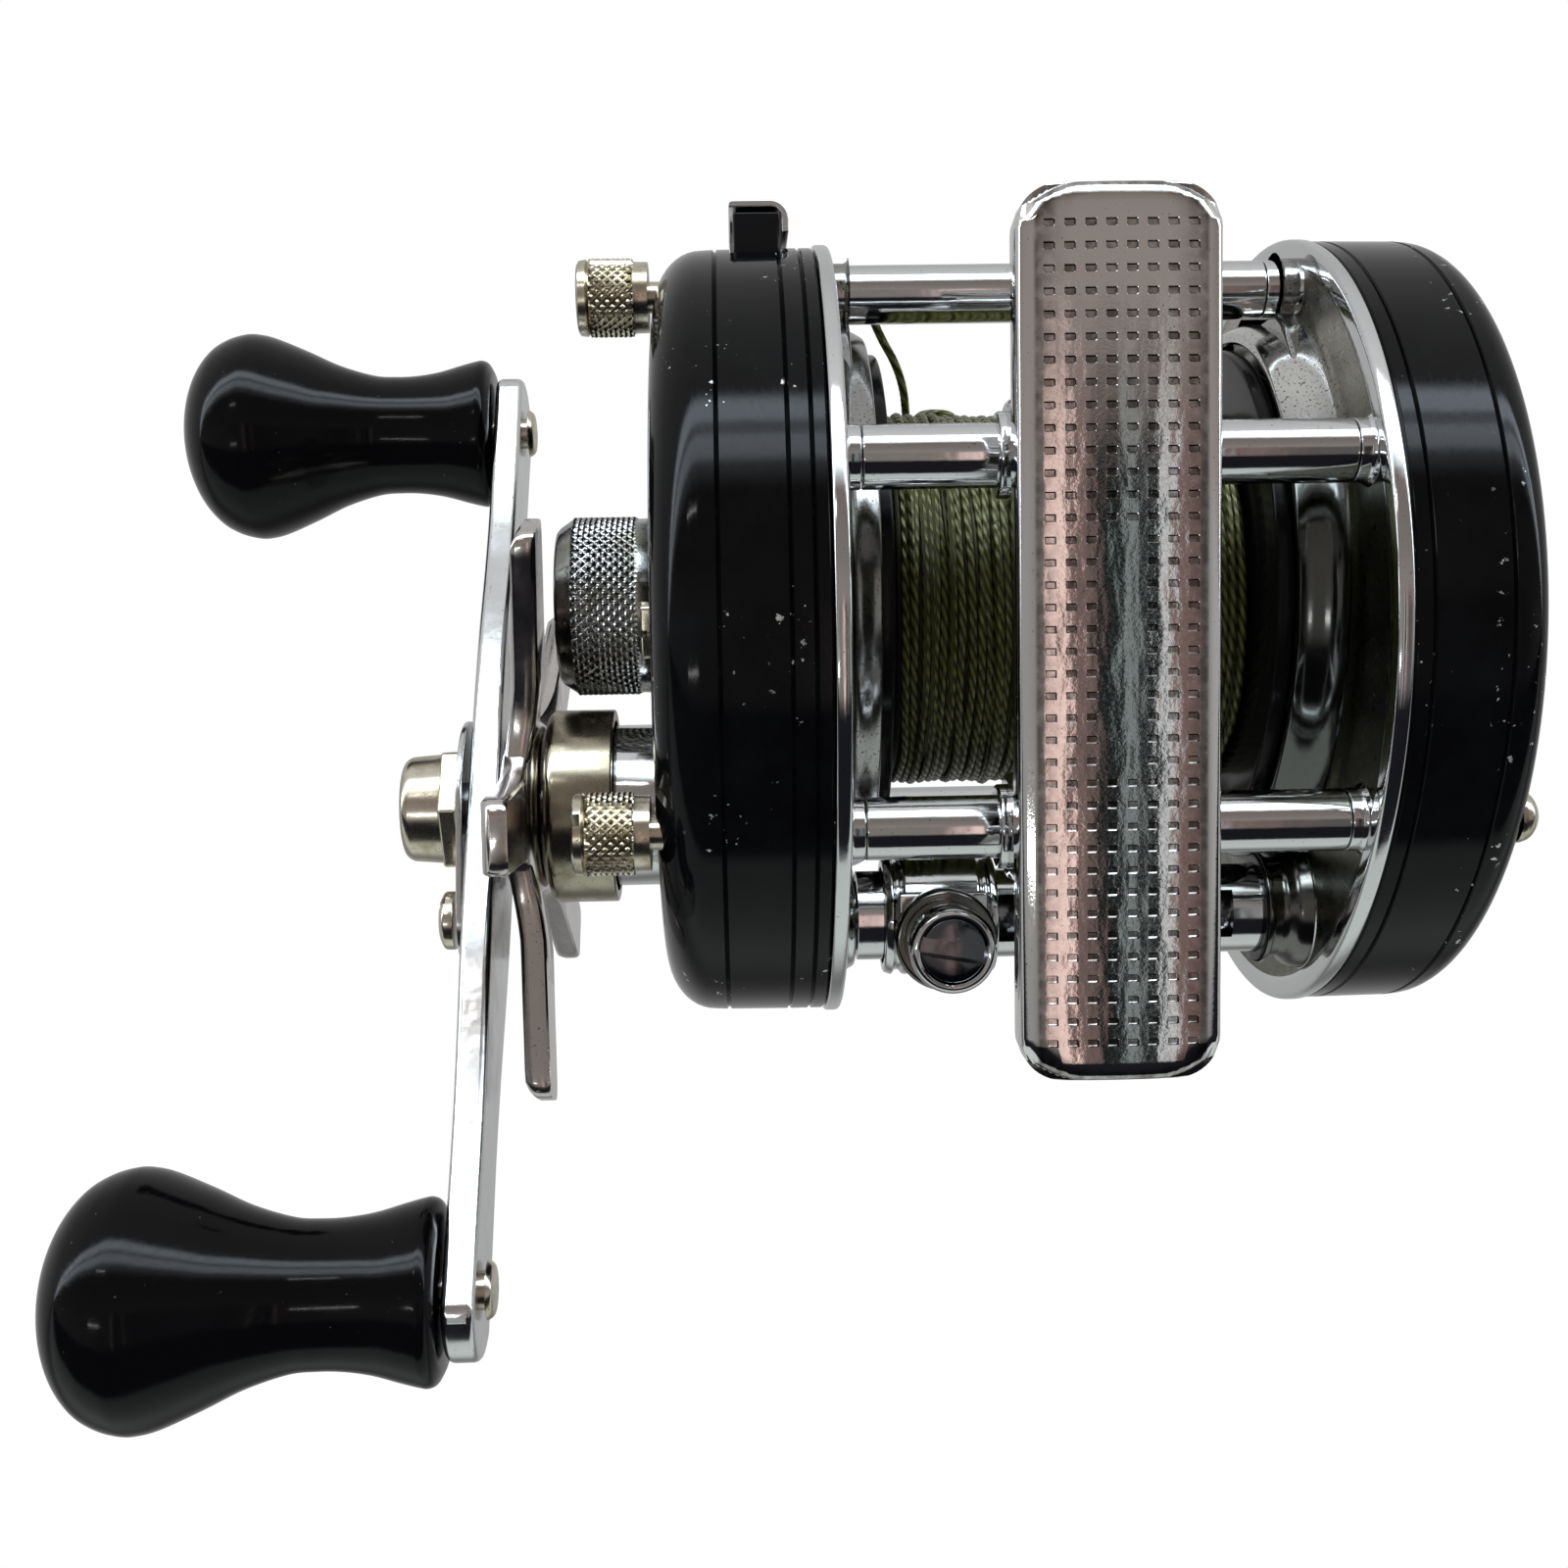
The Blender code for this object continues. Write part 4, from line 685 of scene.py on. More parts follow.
def add_studio():
    """Surroundings that the plate reflects: a bright window with a dimmer bar behind and below,
    dark in front, stripes straight below the foot, and plain white where the camera looks past."""
    world = bpy.data.worlds.new("studio")
    bpy.context.scene.world = world
    g = Tree(world)
    coord = g.nodes.new("ShaderNodeTexCoord")
    split = g.nodes.new("ShaderNodeSeparateXYZ")
    g.link(coord.outputs["Generated"], split.inputs["Vector"])

    def ramp_of(value, stops):
        """Colours along a value from 0 to 1, each stop a place and its colour."""
        node = g.nodes.new("ShaderNodeValToRGB")
        node.color_ramp.interpolation = "EASE"
        g.link(value, node.inputs["Fac"])
        points = node.color_ramp.elements
        while len(points) < len(stops):
            points.new(0.5)
        for point, (place, colour) in zip(points, stops):
            point.position = place
            point.color = (*colour, 1.0)
        return node.outputs["Color"]

    below = g.sum("MULTIPLY", split.outputs["Z"], -1.0)
    around = g.sum("ARCTAN2", split.outputs["Y"], below)
    part = g.sum("ADD", g.sum("DIVIDE", around, 2 * math.pi), 0.5)
    # degrees round the X axis, 0 straight down and positive to the front; colours over 1 are lamps
    room = [(-180, (.12, .12, .12)), (-128, (.13, .13, .13)), (-100, (.16, .16, .16)), (-73, (.19, .19, .19)),
            (-68, (2.0, 2.25, 2.5)), (-63, (2.0, 2.25, 2.5)), (-62, (.8, .9, 1.0)),
            (-59, (.8, .9, 1.0)), (-58, (1.7, 1.9, 2.1)), (-52, (1.5, 1.65, 1.8)), (-49, (.35, .38, .4)),
            (-41, (.055, .045, .04)), (-24, (.060, .054, .050)), (-12, (.075, .066, .062)),
            (0, (.07, .05, .044)), (12, (.05, .04, .037)), (17, (.003, .003, .004)), (64, (.003, .003, .004)),
            (70, (.15, .16, .155)), (100, (.16, .17, .165)), (125, (.05, .05, .05)), (150, (.10, .10, .10)),
            (180, (.12, .12, .12))]
    ring = ramp_of(part, [(turn / 360 + 0.5, colour) for turn, colour in room])
    across = g.sum("ADD", g.sum("MULTIPLY", split.outputs["X"], 0.5), 0.5)
    # the narrow view straight below the foot, from -X to +X
    stripes = [(-30.0, (.08, .08, .08)), (-6.0, (.06, .055, .05)), (-5.0, (.07, .055, .05)),
               (-4.6, (.24, .18, .165)), (-3.3, (.30, .22, .20)), (-2.9, (.045, .030, .027)),
               (-1.5, (.038, .028, .026)), (-1.2, (.002, .003, .003)), (-0.1, (.002, .003, .003)),
               (0.2, (.07, .08, .08)), (0.8, (.06, .068, .066)), (1.0, (.002, .003, .003)),
               (2.1, (.003, .003, .004)), (2.3, (.19, .20, .20)), (2.8, (.17, .17, .17)),
               (3.1, (.05, .032, .03)), (4.6, (.055, .038, .033)), (5.2, (.03, .028, .027)),
               (22.0, (.10, .10, .10))]
    foot = ramp_of(across, [((FOOT_VIEW + FOOT_VIEW_STEP * x) / 2 + 0.5, colour) for x, colour in stripes])
    away = g.sum("ABSOLUTE", g.sum("ADD", around, math.radians(-6)))
    below_foot = g.fade(away, math.radians(11), math.radians(17), 1.0, 0.0)
    studio = g.nodes["Background"]
    g.link(g.mix(below_foot, ring, foot), studio.inputs["Color"])
    studio.inputs["Strength"].default_value = 4.4
    bpy.context.scene.view_settings.view_transform = "Standard"

    plain = g.nodes.new("ShaderNodeBackground")
    plain.inputs["Color"].default_value = (1.0, 1.0, 1.0, 1.0)
    path = g.nodes.new("ShaderNodeLightPath")
    pick = g.nodes.new("ShaderNodeMixShader")
    g.link(path.outputs["Is Camera Ray"], pick.inputs["Fac"])
    g.link(studio.outputs["Background"], pick.inputs[1])
    g.link(plain.outputs["Background"], pick.inputs[2])
    g.link(pick.outputs["Shader"], g.nodes["World Output"].inputs["Surface"])


def add_lamp(name, place, target, size, power):
    """A soft rectangular lamp; the long side of a strip lies along X."""
    data = bpy.data.lights.new(name, "AREA")
    data.shape = "RECTANGLE"
    data.size = size[0] * MM
    data.size_y = size[1] * MM
    data.energy = power
    lamp = bpy.data.objects.new(name, data)
    ahead = (Vector(target) - Vector(place)).normalized()
    side = Vector((1.0, 0.0, 0.0))
    side = (side - ahead * side.dot(ahead)).normalized()
    up = (-ahead).cross(side)
    turn = Matrix((side, up, -ahead)).transposed().to_4x4()
    lamp.matrix_world = Matrix.Translation(Vector(place) * MM) @ turn
    lamp.visible_camera = False
    bpy.context.collection.objects.link(lamp)


def add_floor():
    """A plain pale floor, far under the reel. The plate reflects the studio and not the floor."""
    half = 2.0
    level = -0.50
    mesh = bpy.data.meshes.new("floor")
    corners = [(-half, -half, level), (half, -half, level), (half, half, level), (-half, half, level)]
    mesh.from_pydata(corners, [], [(0, 1, 2, 3)])
    mat = bpy.data.materials.new("pale_floor")
    mat.use_nodes = True
    mat.node_tree.nodes["Principled BSDF"].inputs["Base Color"].default_value = (0.86, 0.86, 0.85, 1.0)
    mat.node_tree.nodes["Principled BSDF"].inputs["Roughness"].default_value = 0.8
    mesh.materials.append(mat)
    floor = bpy.data.objects.new("floor", mesh)
    bpy.context.collection.objects.link(floor)
    floor.visible_glossy = False


# ---------------------------------------------------------------- loose line
STRAND_R = 0.325
LINE_R = 14.1
LINE_GAP = 0.3
STRAND_SPARE = 0.3             # room between the rear pillar and the knot that it hides
STRAND_HOLD = 118.0            # the knot's side of that pillar, in degrees from +Y
STRAND_OVER = 60.0             # how far it lies on the pack before it leaves, in degrees
STRAND_LEAD = 10               # points of its route on the pack
STRAND_X = (-8.13, -8.26, -8.39, -8.6, -8.86, -9.3, -9.97, -10.85, -11.6, -12.15, -12.5)


def strand_route():
    """The loose end: over the top of the line pack, then straight to its knot behind the rear pillar."""
    pack_r = LINE_R + LINE_GAP + STRAND_R
    hold_r = 2.05 + LINE_GAP + STRAND_R + STRAND_SPARE
    turn = math.radians(STRAND_HOLD)
    hold = Vector(PILLARS["rear_upper"]) + hold_r * directions(turn)[0]
    gap = hold - Vector(SPOOL)
    leave = math.atan2(gap.y, gap.x) - math.acos(pack_r / gap.length)
    start = Vector(SPOOL) + pack_r * directions(leave)[0]
    points = []
    for i in range(STRAND_LEAD):
        back = 1 - i / STRAND_LEAD
        turn = leave - math.radians(STRAND_OVER) * back
        place = Vector(SPOOL) + pack_r * directions(turn)[0]
        points.append((STRAND_X[0] + 0.9 * back, place.x, place.y))
    for i, x in enumerate(STRAND_X):
        place = start.lerp(hold, i / (len(STRAND_X) - 1))
        points.append((x, place.x, place.y))
    return points


def smooth_route(points, count):
    """Even points on a smooth curve through the route."""
    samples = [Vector(point) for point in smooth_open(points, 12)]
    run = [0.0]
    for a, b in zip(samples, samples[1:]):
        run.append(run[-1] + (b - a).length)
    even = []
    k = 0
    for i in range(count):
        want = run[-1] * i / (count - 1)
        while k < len(run) - 2 and run[k + 1] < want:
            k += 1
        part = (want - run[k]) / (run[k + 1] - run[k])
        even.append(samples[k].lerp(samples[k + 1], part))
    return even


def knot(name, centre, axis, mat):
    """A small overhand knot: a trefoil of the same line, pulled tight."""
    path = []
    turns = 48
    ahead = Vector(axis).normalized()
    side = ahead.orthogonal().normalized()
    up = ahead.cross(side)
    for i in range(turns + 1):
        t = 2 * math.pi * i / turns * 0.97
        a = math.sin(t) + 1.6 * math.sin(2 * t)
        b = math.cos(t) - 1.6 * math.cos(2 * t)
        c = -math.sin(3 * t)
        path.append(Vector(centre) + (side * a + up * b) * 0.24 + ahead * c * 0.36)
    return sweep(name, path, STRAND_R * 0.8, 10, mat)


def loose_line(mat):
    """The free end of the line, over the pack to a knot behind the rear pillar."""
    even = smooth_route(strand_route(), 60)
    line = sweep("loose_line_strand", even, STRAND_R, 12, mat, twist=0.9)
    end = knot("loose_line_knot", even[-1] + Vector((0.1, 0.0, 0.1)), even[-1] - even[-2], mat)
    settle(end, "frame", "braided_line")
    settle(line, "frame", "braided_line", "loose_line")


# ---------------------------------------------------------------- side covers
def groove(x, radius, wide=0.16, deep=0.2):
    """A turned V groove in a cylinder."""
    return [(x - wide, radius), (x, radius - deep), (x + wide, radius)]


def quarter(x0, r0, x1, r1, count=12):
    """A quarter ellipse from a cylinder at (x0, r0) to a face at (x1, r1)."""
    points = []
    for i in range(count + 1):
        turn = math.pi / 2 * i / count
        points.append((x0 + (x1 - x0) * math.sin(turn), r1 + (r0 - r1) * math.cos(turn)))
    return points


def crank_cover(mat):
    """Domed cover on the crank's side, with a slot for the thumb button's slide."""
    face = -27.8
    open_x = CRANK_RING[0] - COVER_GAP
    radius = 28.3
    wall = COVER_WALL
    profile = [(open_x, radius - wall), (open_x, radius - 0.15), (open_x - 0.15, radius)]
    for x, reach in ((-17.46, radius), (-18.94, radius), (-23.36, radius - 0.05)):
        profile += groove(x, reach)[::-1]
    profile += quarter(-24.4, radius - 0.1, face, radius - 4.3)
    profile += [(face, 22.6), (face + 0.18, 22.4), (face, 22.2), (face, 9.0), (face - 0.35, 8.6),
                (face - 0.35, 5.0), (face + wall, 5.0), (face + wall, radius - 5.0),
                (face + 3.4, radius - wall)]
    cover = lathe("crank_side_cover", profile[::-1], PLATE, mat, RING_STEPS, closed=True)
    slide_x = span("button_slide", 0)
    slide_z = span("button_slide", 2)
    opening = rectangle(-40.0, slide_z[0] - 3.3, -22.0, slide_z[1] + 0.3)
    slot = slab("slide_slot_tool", opening, slide_x[0] - 0.3, slide_x[1] + 0.3, mat, bevel=0)
    carve(cover, slot)
    settle(cover, "frame", "black_enamel", "handle_side_cover")
    neck = [(face + 0.6, 0), (face + 0.6, 5.0), (-33.0, 5.0, 0.3), (-33.0, 0)]
    turned("crank_side_neck", neck, SPOOL, mat, ROD_STEPS, "frame", "black_enamel")


def tail_cover(mat):
    """Flatter cover on the other side, with a slot for the line alarm's button."""
    face = 28.25
    open_x = TAIL_RING[0] + COVER_GAP
    radius = 28.35
    wall = COVER_WALL
    profile = [(open_x, radius - wall), (open_x, radius - 0.15), (open_x + 0.15, radius)]
    profile += groove(20.34, radius) + groove(25.36, radius - 0.06)
    profile += quarter(25.9, radius - 0.1, face, radius - 2.6)
    profile += [(face, 23.4), (face - 0.18, 23.2), (face, 23.0), (face, 11.6), (face, 11.5),
                (face - 0.3, 11.2), (face - 0.3, 0.0), (face - wall, 0.0), (face - wall, radius - 3.6),
                (face - 2.4, radius - wall)]
    cover = lathe("tail_side_cover_shell", profile, PLATE, mat, RING_STEPS, closed=True)
    click_y = middle("click_button")[0]
    low = 17.1
    opening = rectangle(click_y - 1.4, low, click_y + 1.4, low + 5.8)
    slot = slab("click_slot_tool", opening, face - 5, face + 5, mat, bevel=0)
    carve(cover, slot)
    settle(cover, "frame", "black_enamel", "tail_side_cover")


# ---------------------------------------------------------------- frame
def eccentric(name, profile, mat, steps=RING_STEPS):
    """A closed turned shape whose points (along, radius, share) move from the plates' axis
    towards the spool's by their share."""
    verts = []
    for along, radius, share in profile:
        y = PLATE[0] + (SPOOL[0] - PLATE[0]) * share
        z = PLATE[1] + (SPOOL[1] - PLATE[1]) * share
        for step in range(steps):
            turn = 2 * math.pi * step / steps
            verts.append((along, y + radius * math.cos(turn), z + radius * math.sin(turn)))
    count = len(profile)
    faces = []
    for i in range(count):
        j = (i + 1) % count
        for step in range(steps):
            after = (step + 1) % steps
            faces.append((i * steps + step, i * steps + after, j * steps + after, j * steps + step))
    obj = new_piece(name, verts, faces, mat)
    tidy_normals(obj)
    obj.data.set_sharp_from_angle(angle=SMOOTH)
    return obj


def web_outline(pillar, seat_r, reach):
    """From the seat round a pillar, spreading to the spool cup."""
    gap = Vector(SPOOL) - Vector(pillar)
    turn = math.atan2(gap.y, gap.x)
    points = []
    for i in range(13):
        a = turn + math.radians(70) + math.radians(220) * i / 12
        points.append(polar(pillar, seat_r, a))
    for side in (-1, 1):
        flank = []
        for i in range(8):
            t = i / 7
            a = turn + math.pi + side * math.radians(reach * (0.22 + 0.78 * t))
            r = 20.0 + 1.6 * (1 - t) ** 2.2
            flank.append(polar(SPOOL, r, a))
        points += flank if side < 0 else flank[::-1]
    return points


def frame_ring(name, node, faces_x, cup_x, mats, cup):
    """Ring, spool cup, pillar seats and the level wind's seat."""
    outer, inner = faces_x
    side = 1 if outer > inner else -1
    profile = [(outer, 18.9, 1), (outer, PLATE_R - 1.6, 0), (outer, PLATE_R, 0, 0.28),
               (inner, PLATE_R, 0, 0.42), (inner, PLATE_R - 1.5, 0, 0.3),
               (inner + side * 0.22, PLATE_R - 1.9, 0, 0.3), (inner + side * 0.22, 21.9, 1, 0.8),
               (inner - side * 0.9, 20.5, 1, 0.9), (cup_x + side * 0.7, 20.1, 1, 0.3),
               (cup_x, 19.7, 1, 0.2), (cup_x, 19.1, 1, 0.15), (cup_x + side * 0.3, 18.9, 1)]
    ring = eccentric(name, rounded(profile, closed=True, size=3), mats[cup])
    ring.data.materials.append(mats["chrome"])
    ring.data.materials.append(mats["plate"])
    for face in ring.data.polygons:
        x, y, z = (value / MM for value in face.center)
        if math.hypot(y - PLATE[0], z - PLATE[1]) > PLATE_R - 1.7:
            face.material_index = 1
        elif abs(x - inner) < 0.4 and math.hypot(y - SPOOL[0], z - SPOOL[1]) > 21.5:
            face.material_index = 2
    parts = [ring]
    for key, centre in PILLARS.items():
        node_x = span("pillar_" + key, 0)
        seat_x = node_x[1] + 0.06 if side > 0 else node_x[0] - 0.06
        flare = [(inner + side * 0.5, 0), (inner + side * 0.5, 2.35), (inner + side * 0.2, 2.35),
                 (inner - side * 0.1, 2.08, 0.2), (seat_x, 2.05, 0.1), (seat_x, 0)]
        seat = lathe(name + "_seat_" + key, rounded(flare), centre, mats["chrome"], 48)
        tidy_normals(seat)
        parts.append(seat)
    web_x = sorted((inner + side * 0.5, inner - side * 1.35))
    outline = web_outline(PILLARS["rear_upper"], 2.2, 34)
    parts.append(slab(name + "_web", outline, web_x[0], web_x[1], mats["cup"], 0.5))
    worm_seat = rounded([(inner + side * 0.5, 0), (inner + side * 0.5, 4.6), (inner + side * 0.2, 4.6),
                         (inner - side * 0.3, 3.9, 0.4), (inner - side * 1.0, 3.55, 0.3),
                         (inner - side * 1.0, 0)])
    seat = lathe(name + "_worm_seat", worm_seat, WORM, mats["chrome"], 48)
    tidy_normals(seat)
    parts.append(seat)
    whole = merge(name, parts)
    settle(whole, "frame", "polished_chrome", node)


def pillar(key, mat):
    """One of the frame's round bars."""
    node = "pillar_" + key
    low, high = span(node, 0)
    points = [(low, 0), (low, 2.05, 0.14), (high, 2.05, 0.14), (high, 0)]
    turned("bar_" + key, points, PILLARS[key], mat, ROD_STEPS, "frame", "polished_chrome", node)


# ---------------------------------------------------------------- foot
FOOT_COLUMNS = 8               # of pits, across the foot
FOOT_ROWS = 38                 # and along it
PIT_STEP = (1.19, 1.28)        # from one pit to the next, in X and Y
PIT_HALF = (0.26, 0.155)
PIT_WALL = 0.07                # width of a pit's sloping wall
PIT_DEEP = 0.17
PLAIN_COLUMNS = (3, 4)         # these have no pits from the first to the last of these rows
PLAIN_ROWS = (14, 24)
FOOT_CROWN = 0.21              # how far the long edges stand back from the middle of the face


def foot_lines(step, count, half, edge):
    """Grid lines across the foot: its rim, and four for each row of pits."""
    lines = []
    for i in range(count):
        middle_line = (i - (count - 1) / 2) * step
        for offset in (-half - PIT_WALL, -half, half, half + PIT_WALL):
            lines.append(middle_line + offset)
    for inset in (0.0, 0.07, 0.16, 0.28, 0.45, 0.65, 0.85, 1.05, 1.25):
        lines += [edge - inset, inset - edge]
    lines += [0.0]
    return sorted(set(round(line, 4) for line in lines))


def is_pit(col, row):
    """The two middle columns are left plain for a stretch past the foot's middle."""
    if not (0 <= col < FOOT_COLUMNS and 0 <= row < FOOT_ROWS):
        return False
    return not (col in PLAIN_COLUMNS and PLAIN_ROWS[0] <= row <= PLAIN_ROWS[1])


def foot(mats):
    """Flat plate with rounded edges and rows of small pits in its face."""
    half_x = 6.0
    half_y = 26.1
    corner = 2.6
    thick = 3.0
    xs = foot_lines(PIT_STEP[0], FOOT_COLUMNS, PIT_HALF[0], half_x)
    ys = foot_lines(PIT_STEP[1], FOOT_ROWS, PIT_HALF[1], half_y)
    verts = []
    for y in ys:
        over = max(0.0, abs(y) - (half_y - corner))
        wide = half_x - corner + math.sqrt(max(corner ** 2 - over ** 2, 0.0))
        for x in xs:
            edge_x = half_x - abs(x)
            edge_y = half_y - abs(y)
            if over > 0.0 and abs(x) > half_x - corner:
                edge = corner - math.hypot(abs(x) - half_x + corner, over)
                edge = max(min(edge, edge_x, edge_y), 0.0)
            else:
                edge = min(edge_x, edge_y)
            rim = 0.0
            if edge < 1.25:
                rim = 0.42 * (1 - edge / 1.25) ** 2
            if edge < 0.28:
                rim += 0.33 * (1 - math.sqrt(max(0.0, 1 - (1 - edge / 0.28) ** 2)))
            col = round(x / PIT_STEP[0] + (FOOT_COLUMNS - 1) / 2)
            row = round(y / PIT_STEP[1] + (FOOT_ROWS - 1) / 2)
            in_x = abs(x - (col - (FOOT_COLUMNS - 1) / 2) * PIT_STEP[0]) <= PIT_HALF[0] + 0.001
            in_y = abs(y - (row - (FOOT_ROWS - 1) / 2) * PIT_STEP[1]) <= PIT_HALF[1] + 0.001
            deep = PIT_DEEP if in_x and in_y and is_pit(col, row) else 0.0
            crown = FOOT_CROWN * (x / half_x) ** 2
            verts.append((x * wide / half_x, y, rim + deep + crown))
    wide_count = len(xs)
    tall = len(ys)
    faces = []
    for j in range(tall - 1):
        for i in range(wide_count - 1):
            a = j * wide_count + i
            faces.append((a, a + wide_count, a + wide_count + 1, a + 1))
    border = list(range(wide_count))
    border += [j * wide_count + wide_count - 1 for j in range(1, tall)]
    border += [(tall - 1) * wide_count + i for i in range(wide_count - 2, -1, -1)]
    border += [j * wide_count for j in range(tall - 2, 0, -1)]
    previous = border
    for height, inset in ((thick - 0.25, 0.0), (thick - 0.08, 0.08), (thick, 0.25)):
        start = len(verts)
        for index in border:
            x, y, z = verts[index]
            shrink = Vector((x, y)) * (1 - inset / max(Vector((x, y)).length, 1.0))
            verts.append((shrink.x, shrink.y, height))
        ring = list(range(start, start + len(border)))
        for k in range(len(border)):
            after = (k + 1) % len(border)
            faces.append((previous[k], previous[after], ring[after], ring[k]))
        previous = ring
    faces.append(tuple(previous))
    plate = new_piece("foot_plate", verts, faces, mats["foot"])
    tidy_normals(plate)
    plate.data.set_sharp_from_angle(angle=math.radians(38))
    settle(plate, "frame", "polished_chrome", "reel_foot")
    for key in ("rear_lower", "front_lower"):
        y, z = PILLARS[key]
        outline = [(y - 4.3, thick - 0.1), (y + 4.3, thick - 0.1)]
        outline += [polar((y, z), 3.5, math.radians(-25 + 230 * i / 20)) for i in range(21)]
        saddle = slab("foot_saddle_" + key, outline, -5.1, 5.1, mats["chrome"], 0.45)
        settle(saddle, "frame", "polished_chrome")
        for sign in (-1, 1):
            ends = sorted((sign * 4.9, sign * 5.75))
            collar = [(ends[0], 0), (ends[0], 2.75, 0.25), (ends[1], 2.75, 0.25), (ends[1], 0)]
            turned("foot_collar_%s_%d" % (key, sign > 0), collar, (y, z), mats["chrome"], 48, "frame",
                   "polished_chrome")


# ---------------------------------------------------------------- spool and line
def spool(mat):
    """Black arbor with two rims, stepped on the outside."""
    left = -11.6
    right = 13.9
    rim = 18.5
    arbor = 8.0
    profile = rounded([
        (left - 2.4, 1.3), (left - 2.4, 5.0, 0.3), (left + 2.0, 5.4), (left + 2.0, arbor - 1.2, 0.6),
        (left - 1.2, arbor + 2.0, 0.6), (left - 0.8, rim - 3.4, 0.4), (left - 1.25, rim - 3.0, 0.3),
        (left - 1.25, rim, 0.3), (left - 0.05, rim, 0.3), (left, rim - 3.0, 0.5), (left + 0.5, arbor, 0.5),
        (right - 0.5, arbor, 0.5), (right, rim - 3.0, 0.5), (right + 0.05, rim, 0.3),
        (right + 1.25, rim, 0.3), (right + 1.25, rim - 3.0, 0.3), (right + 0.8, rim - 3.4, 0.4),
        (right + 1.2, arbor + 1.0, 0.6), (right - 2.0, arbor - 1.2, 0.6), (right - 2.0, 4.0),
        (right + 1.0, 4.0, 0.2), (right + 1.0, 1.3)], closed=True)
    piece = lathe("spool_body", profile, SPOOL, mat, RING_STEPS, closed=True)
    settle(piece, "spool_assembly", "black_plastic", "spool")


def wound_line(mat):
    """The top layer of line as one helix that wanders a little, a few turns across it, and the
    packed layers under it."""
    rng = random.Random(7)
    left = -11.05
    right = 13.35
    pitch = 0.655
    turns = int((right - left) / pitch)
    steps = 64
    path = []
    for i in range(turns * steps + 1):
        turn = 2 * math.pi * i / steps
        lap = i / steps
        x = left + pitch * lap
        wander = 0.30 * noise.noise(Vector((lap * 0.9, 1.7 * math.cos(turn), 1.7 * math.sin(turn))))
        lift = 0.22 * noise.noise(Vector((lap * 0.8 + 40.0, 1.2 * math.cos(turn), 1.2 * math.sin(turn))))
        r = LINE_R - STRAND_R - 0.13 + lift
        path.append((x + wander, *polar(SPOOL, r, turn)))
    top = sweep("line_top_layer", path, STRAND_R * 0.97, 8, mat)
    settle(top, "spool_assembly", "braided_line", "line_pack")
    across = []
    for k in range(20):
        begin = rng.uniform(0, 2 * math.pi)
        arc_long = rng.uniform(1.3, 3.4)
        x0 = rng.uniform(left + 0.6, right - 3.6)
        slope = rng.uniform(-1.5, 1.9)
        count = 60
        strand = []
        for i in range(count + 1):
            t = i / count
            turn = begin + arc_long * t
            dip = 0.42 * (abs(2 * t - 1) ** 6)
            r = LINE_R - STRAND_R + 0.16 - dip
            x = min(max(x0 + slope * t, left), right)
            strand.append((x, *polar(SPOOL, r, turn)))
        across.append(sweep("line_across_%02d" % k, strand, STRAND_R * 0.97, 8, mat))
    whole = merge("line_crossing_turns", across)
    settle(whole, "spool_assembly", "braided_line")
    inner = 8.35
    under_r = LINE_R - 2 * STRAND_R - 0.1
    profile = [(left - 0.2, inner), (left - 0.25, under_r - 0.6), (left, under_r)]
    profile += ridge_line(left, right, under_r, pitch)
    profile += [(right, under_r), (right + 0.25, under_r - 0.6), (right + 0.2, inner)]
    under = lathe("line_packed_layers", profile, SPOOL, mat, 96, closed=True)
    settle(under, "spool_assembly", "braided_line")


def ridge_line(left, right, radius, pitch):
    """Rounded ridges, one for each turn of line."""
    points = []
    count = int((right - left) / pitch) * 4
    for i in range(1, count):
        x = left + (right - left) * i / count
        points.append((x, radius + 0.10 * abs(math.sin(2 * math.pi * i / 8))))
    return points


def line_loops(mat):
    """Three slack turns that stand off the pack at the back."""
    centre_turn = math.radians(166)
    spots = [(-6.6, 0.95, 1.5, 0.10), (-4.3, 0.75, 1.2, -0.06), (-8.0, 0.6, 0.9, 0.05)]
    loops = []
    for k, (x, high, wide, lean) in enumerate(spots):
        path = []
        for i in range(41):
            t = math.pi * i / 40
            r = LINE_R - 0.25 + high * math.sin(t)
            turn = centre_turn + lean + 0.03 * math.cos(2 * t)
            path.append((x - wide * math.cos(t), *polar(SPOOL, r, turn)))
        loops.append(sweep("line_loop_%d" % k, path, STRAND_R * 0.95, 10, mat))
    whole = merge("line_slack_loops", loops)
    settle(whole, "spool_assembly", "braided_line")


# ---------------------------------------------------------------- level wind
def worm_tube(mat):
    """Tube with a long slot in its lower side."""
    low, high = span("worm_tube", 0)
    profile = [(low, 2.55), (low, 3.2), (high, 3.2), (high, 2.55)]
    tube = lathe("level_wind_tube", profile[::-1], WORM, mat, 72, closed=True)
    half = 1.7
    opening = rectangle(WORM[0] - half, WORM[1] - 6, WORM[0] + half, WORM[1])
    slot = slab("tube_slot_tool", opening, -12.2, 12.7, mat, bevel=0)
    carve(tube, slot)
    settle(tube, "frame", "polished_chrome", "worm_tube")


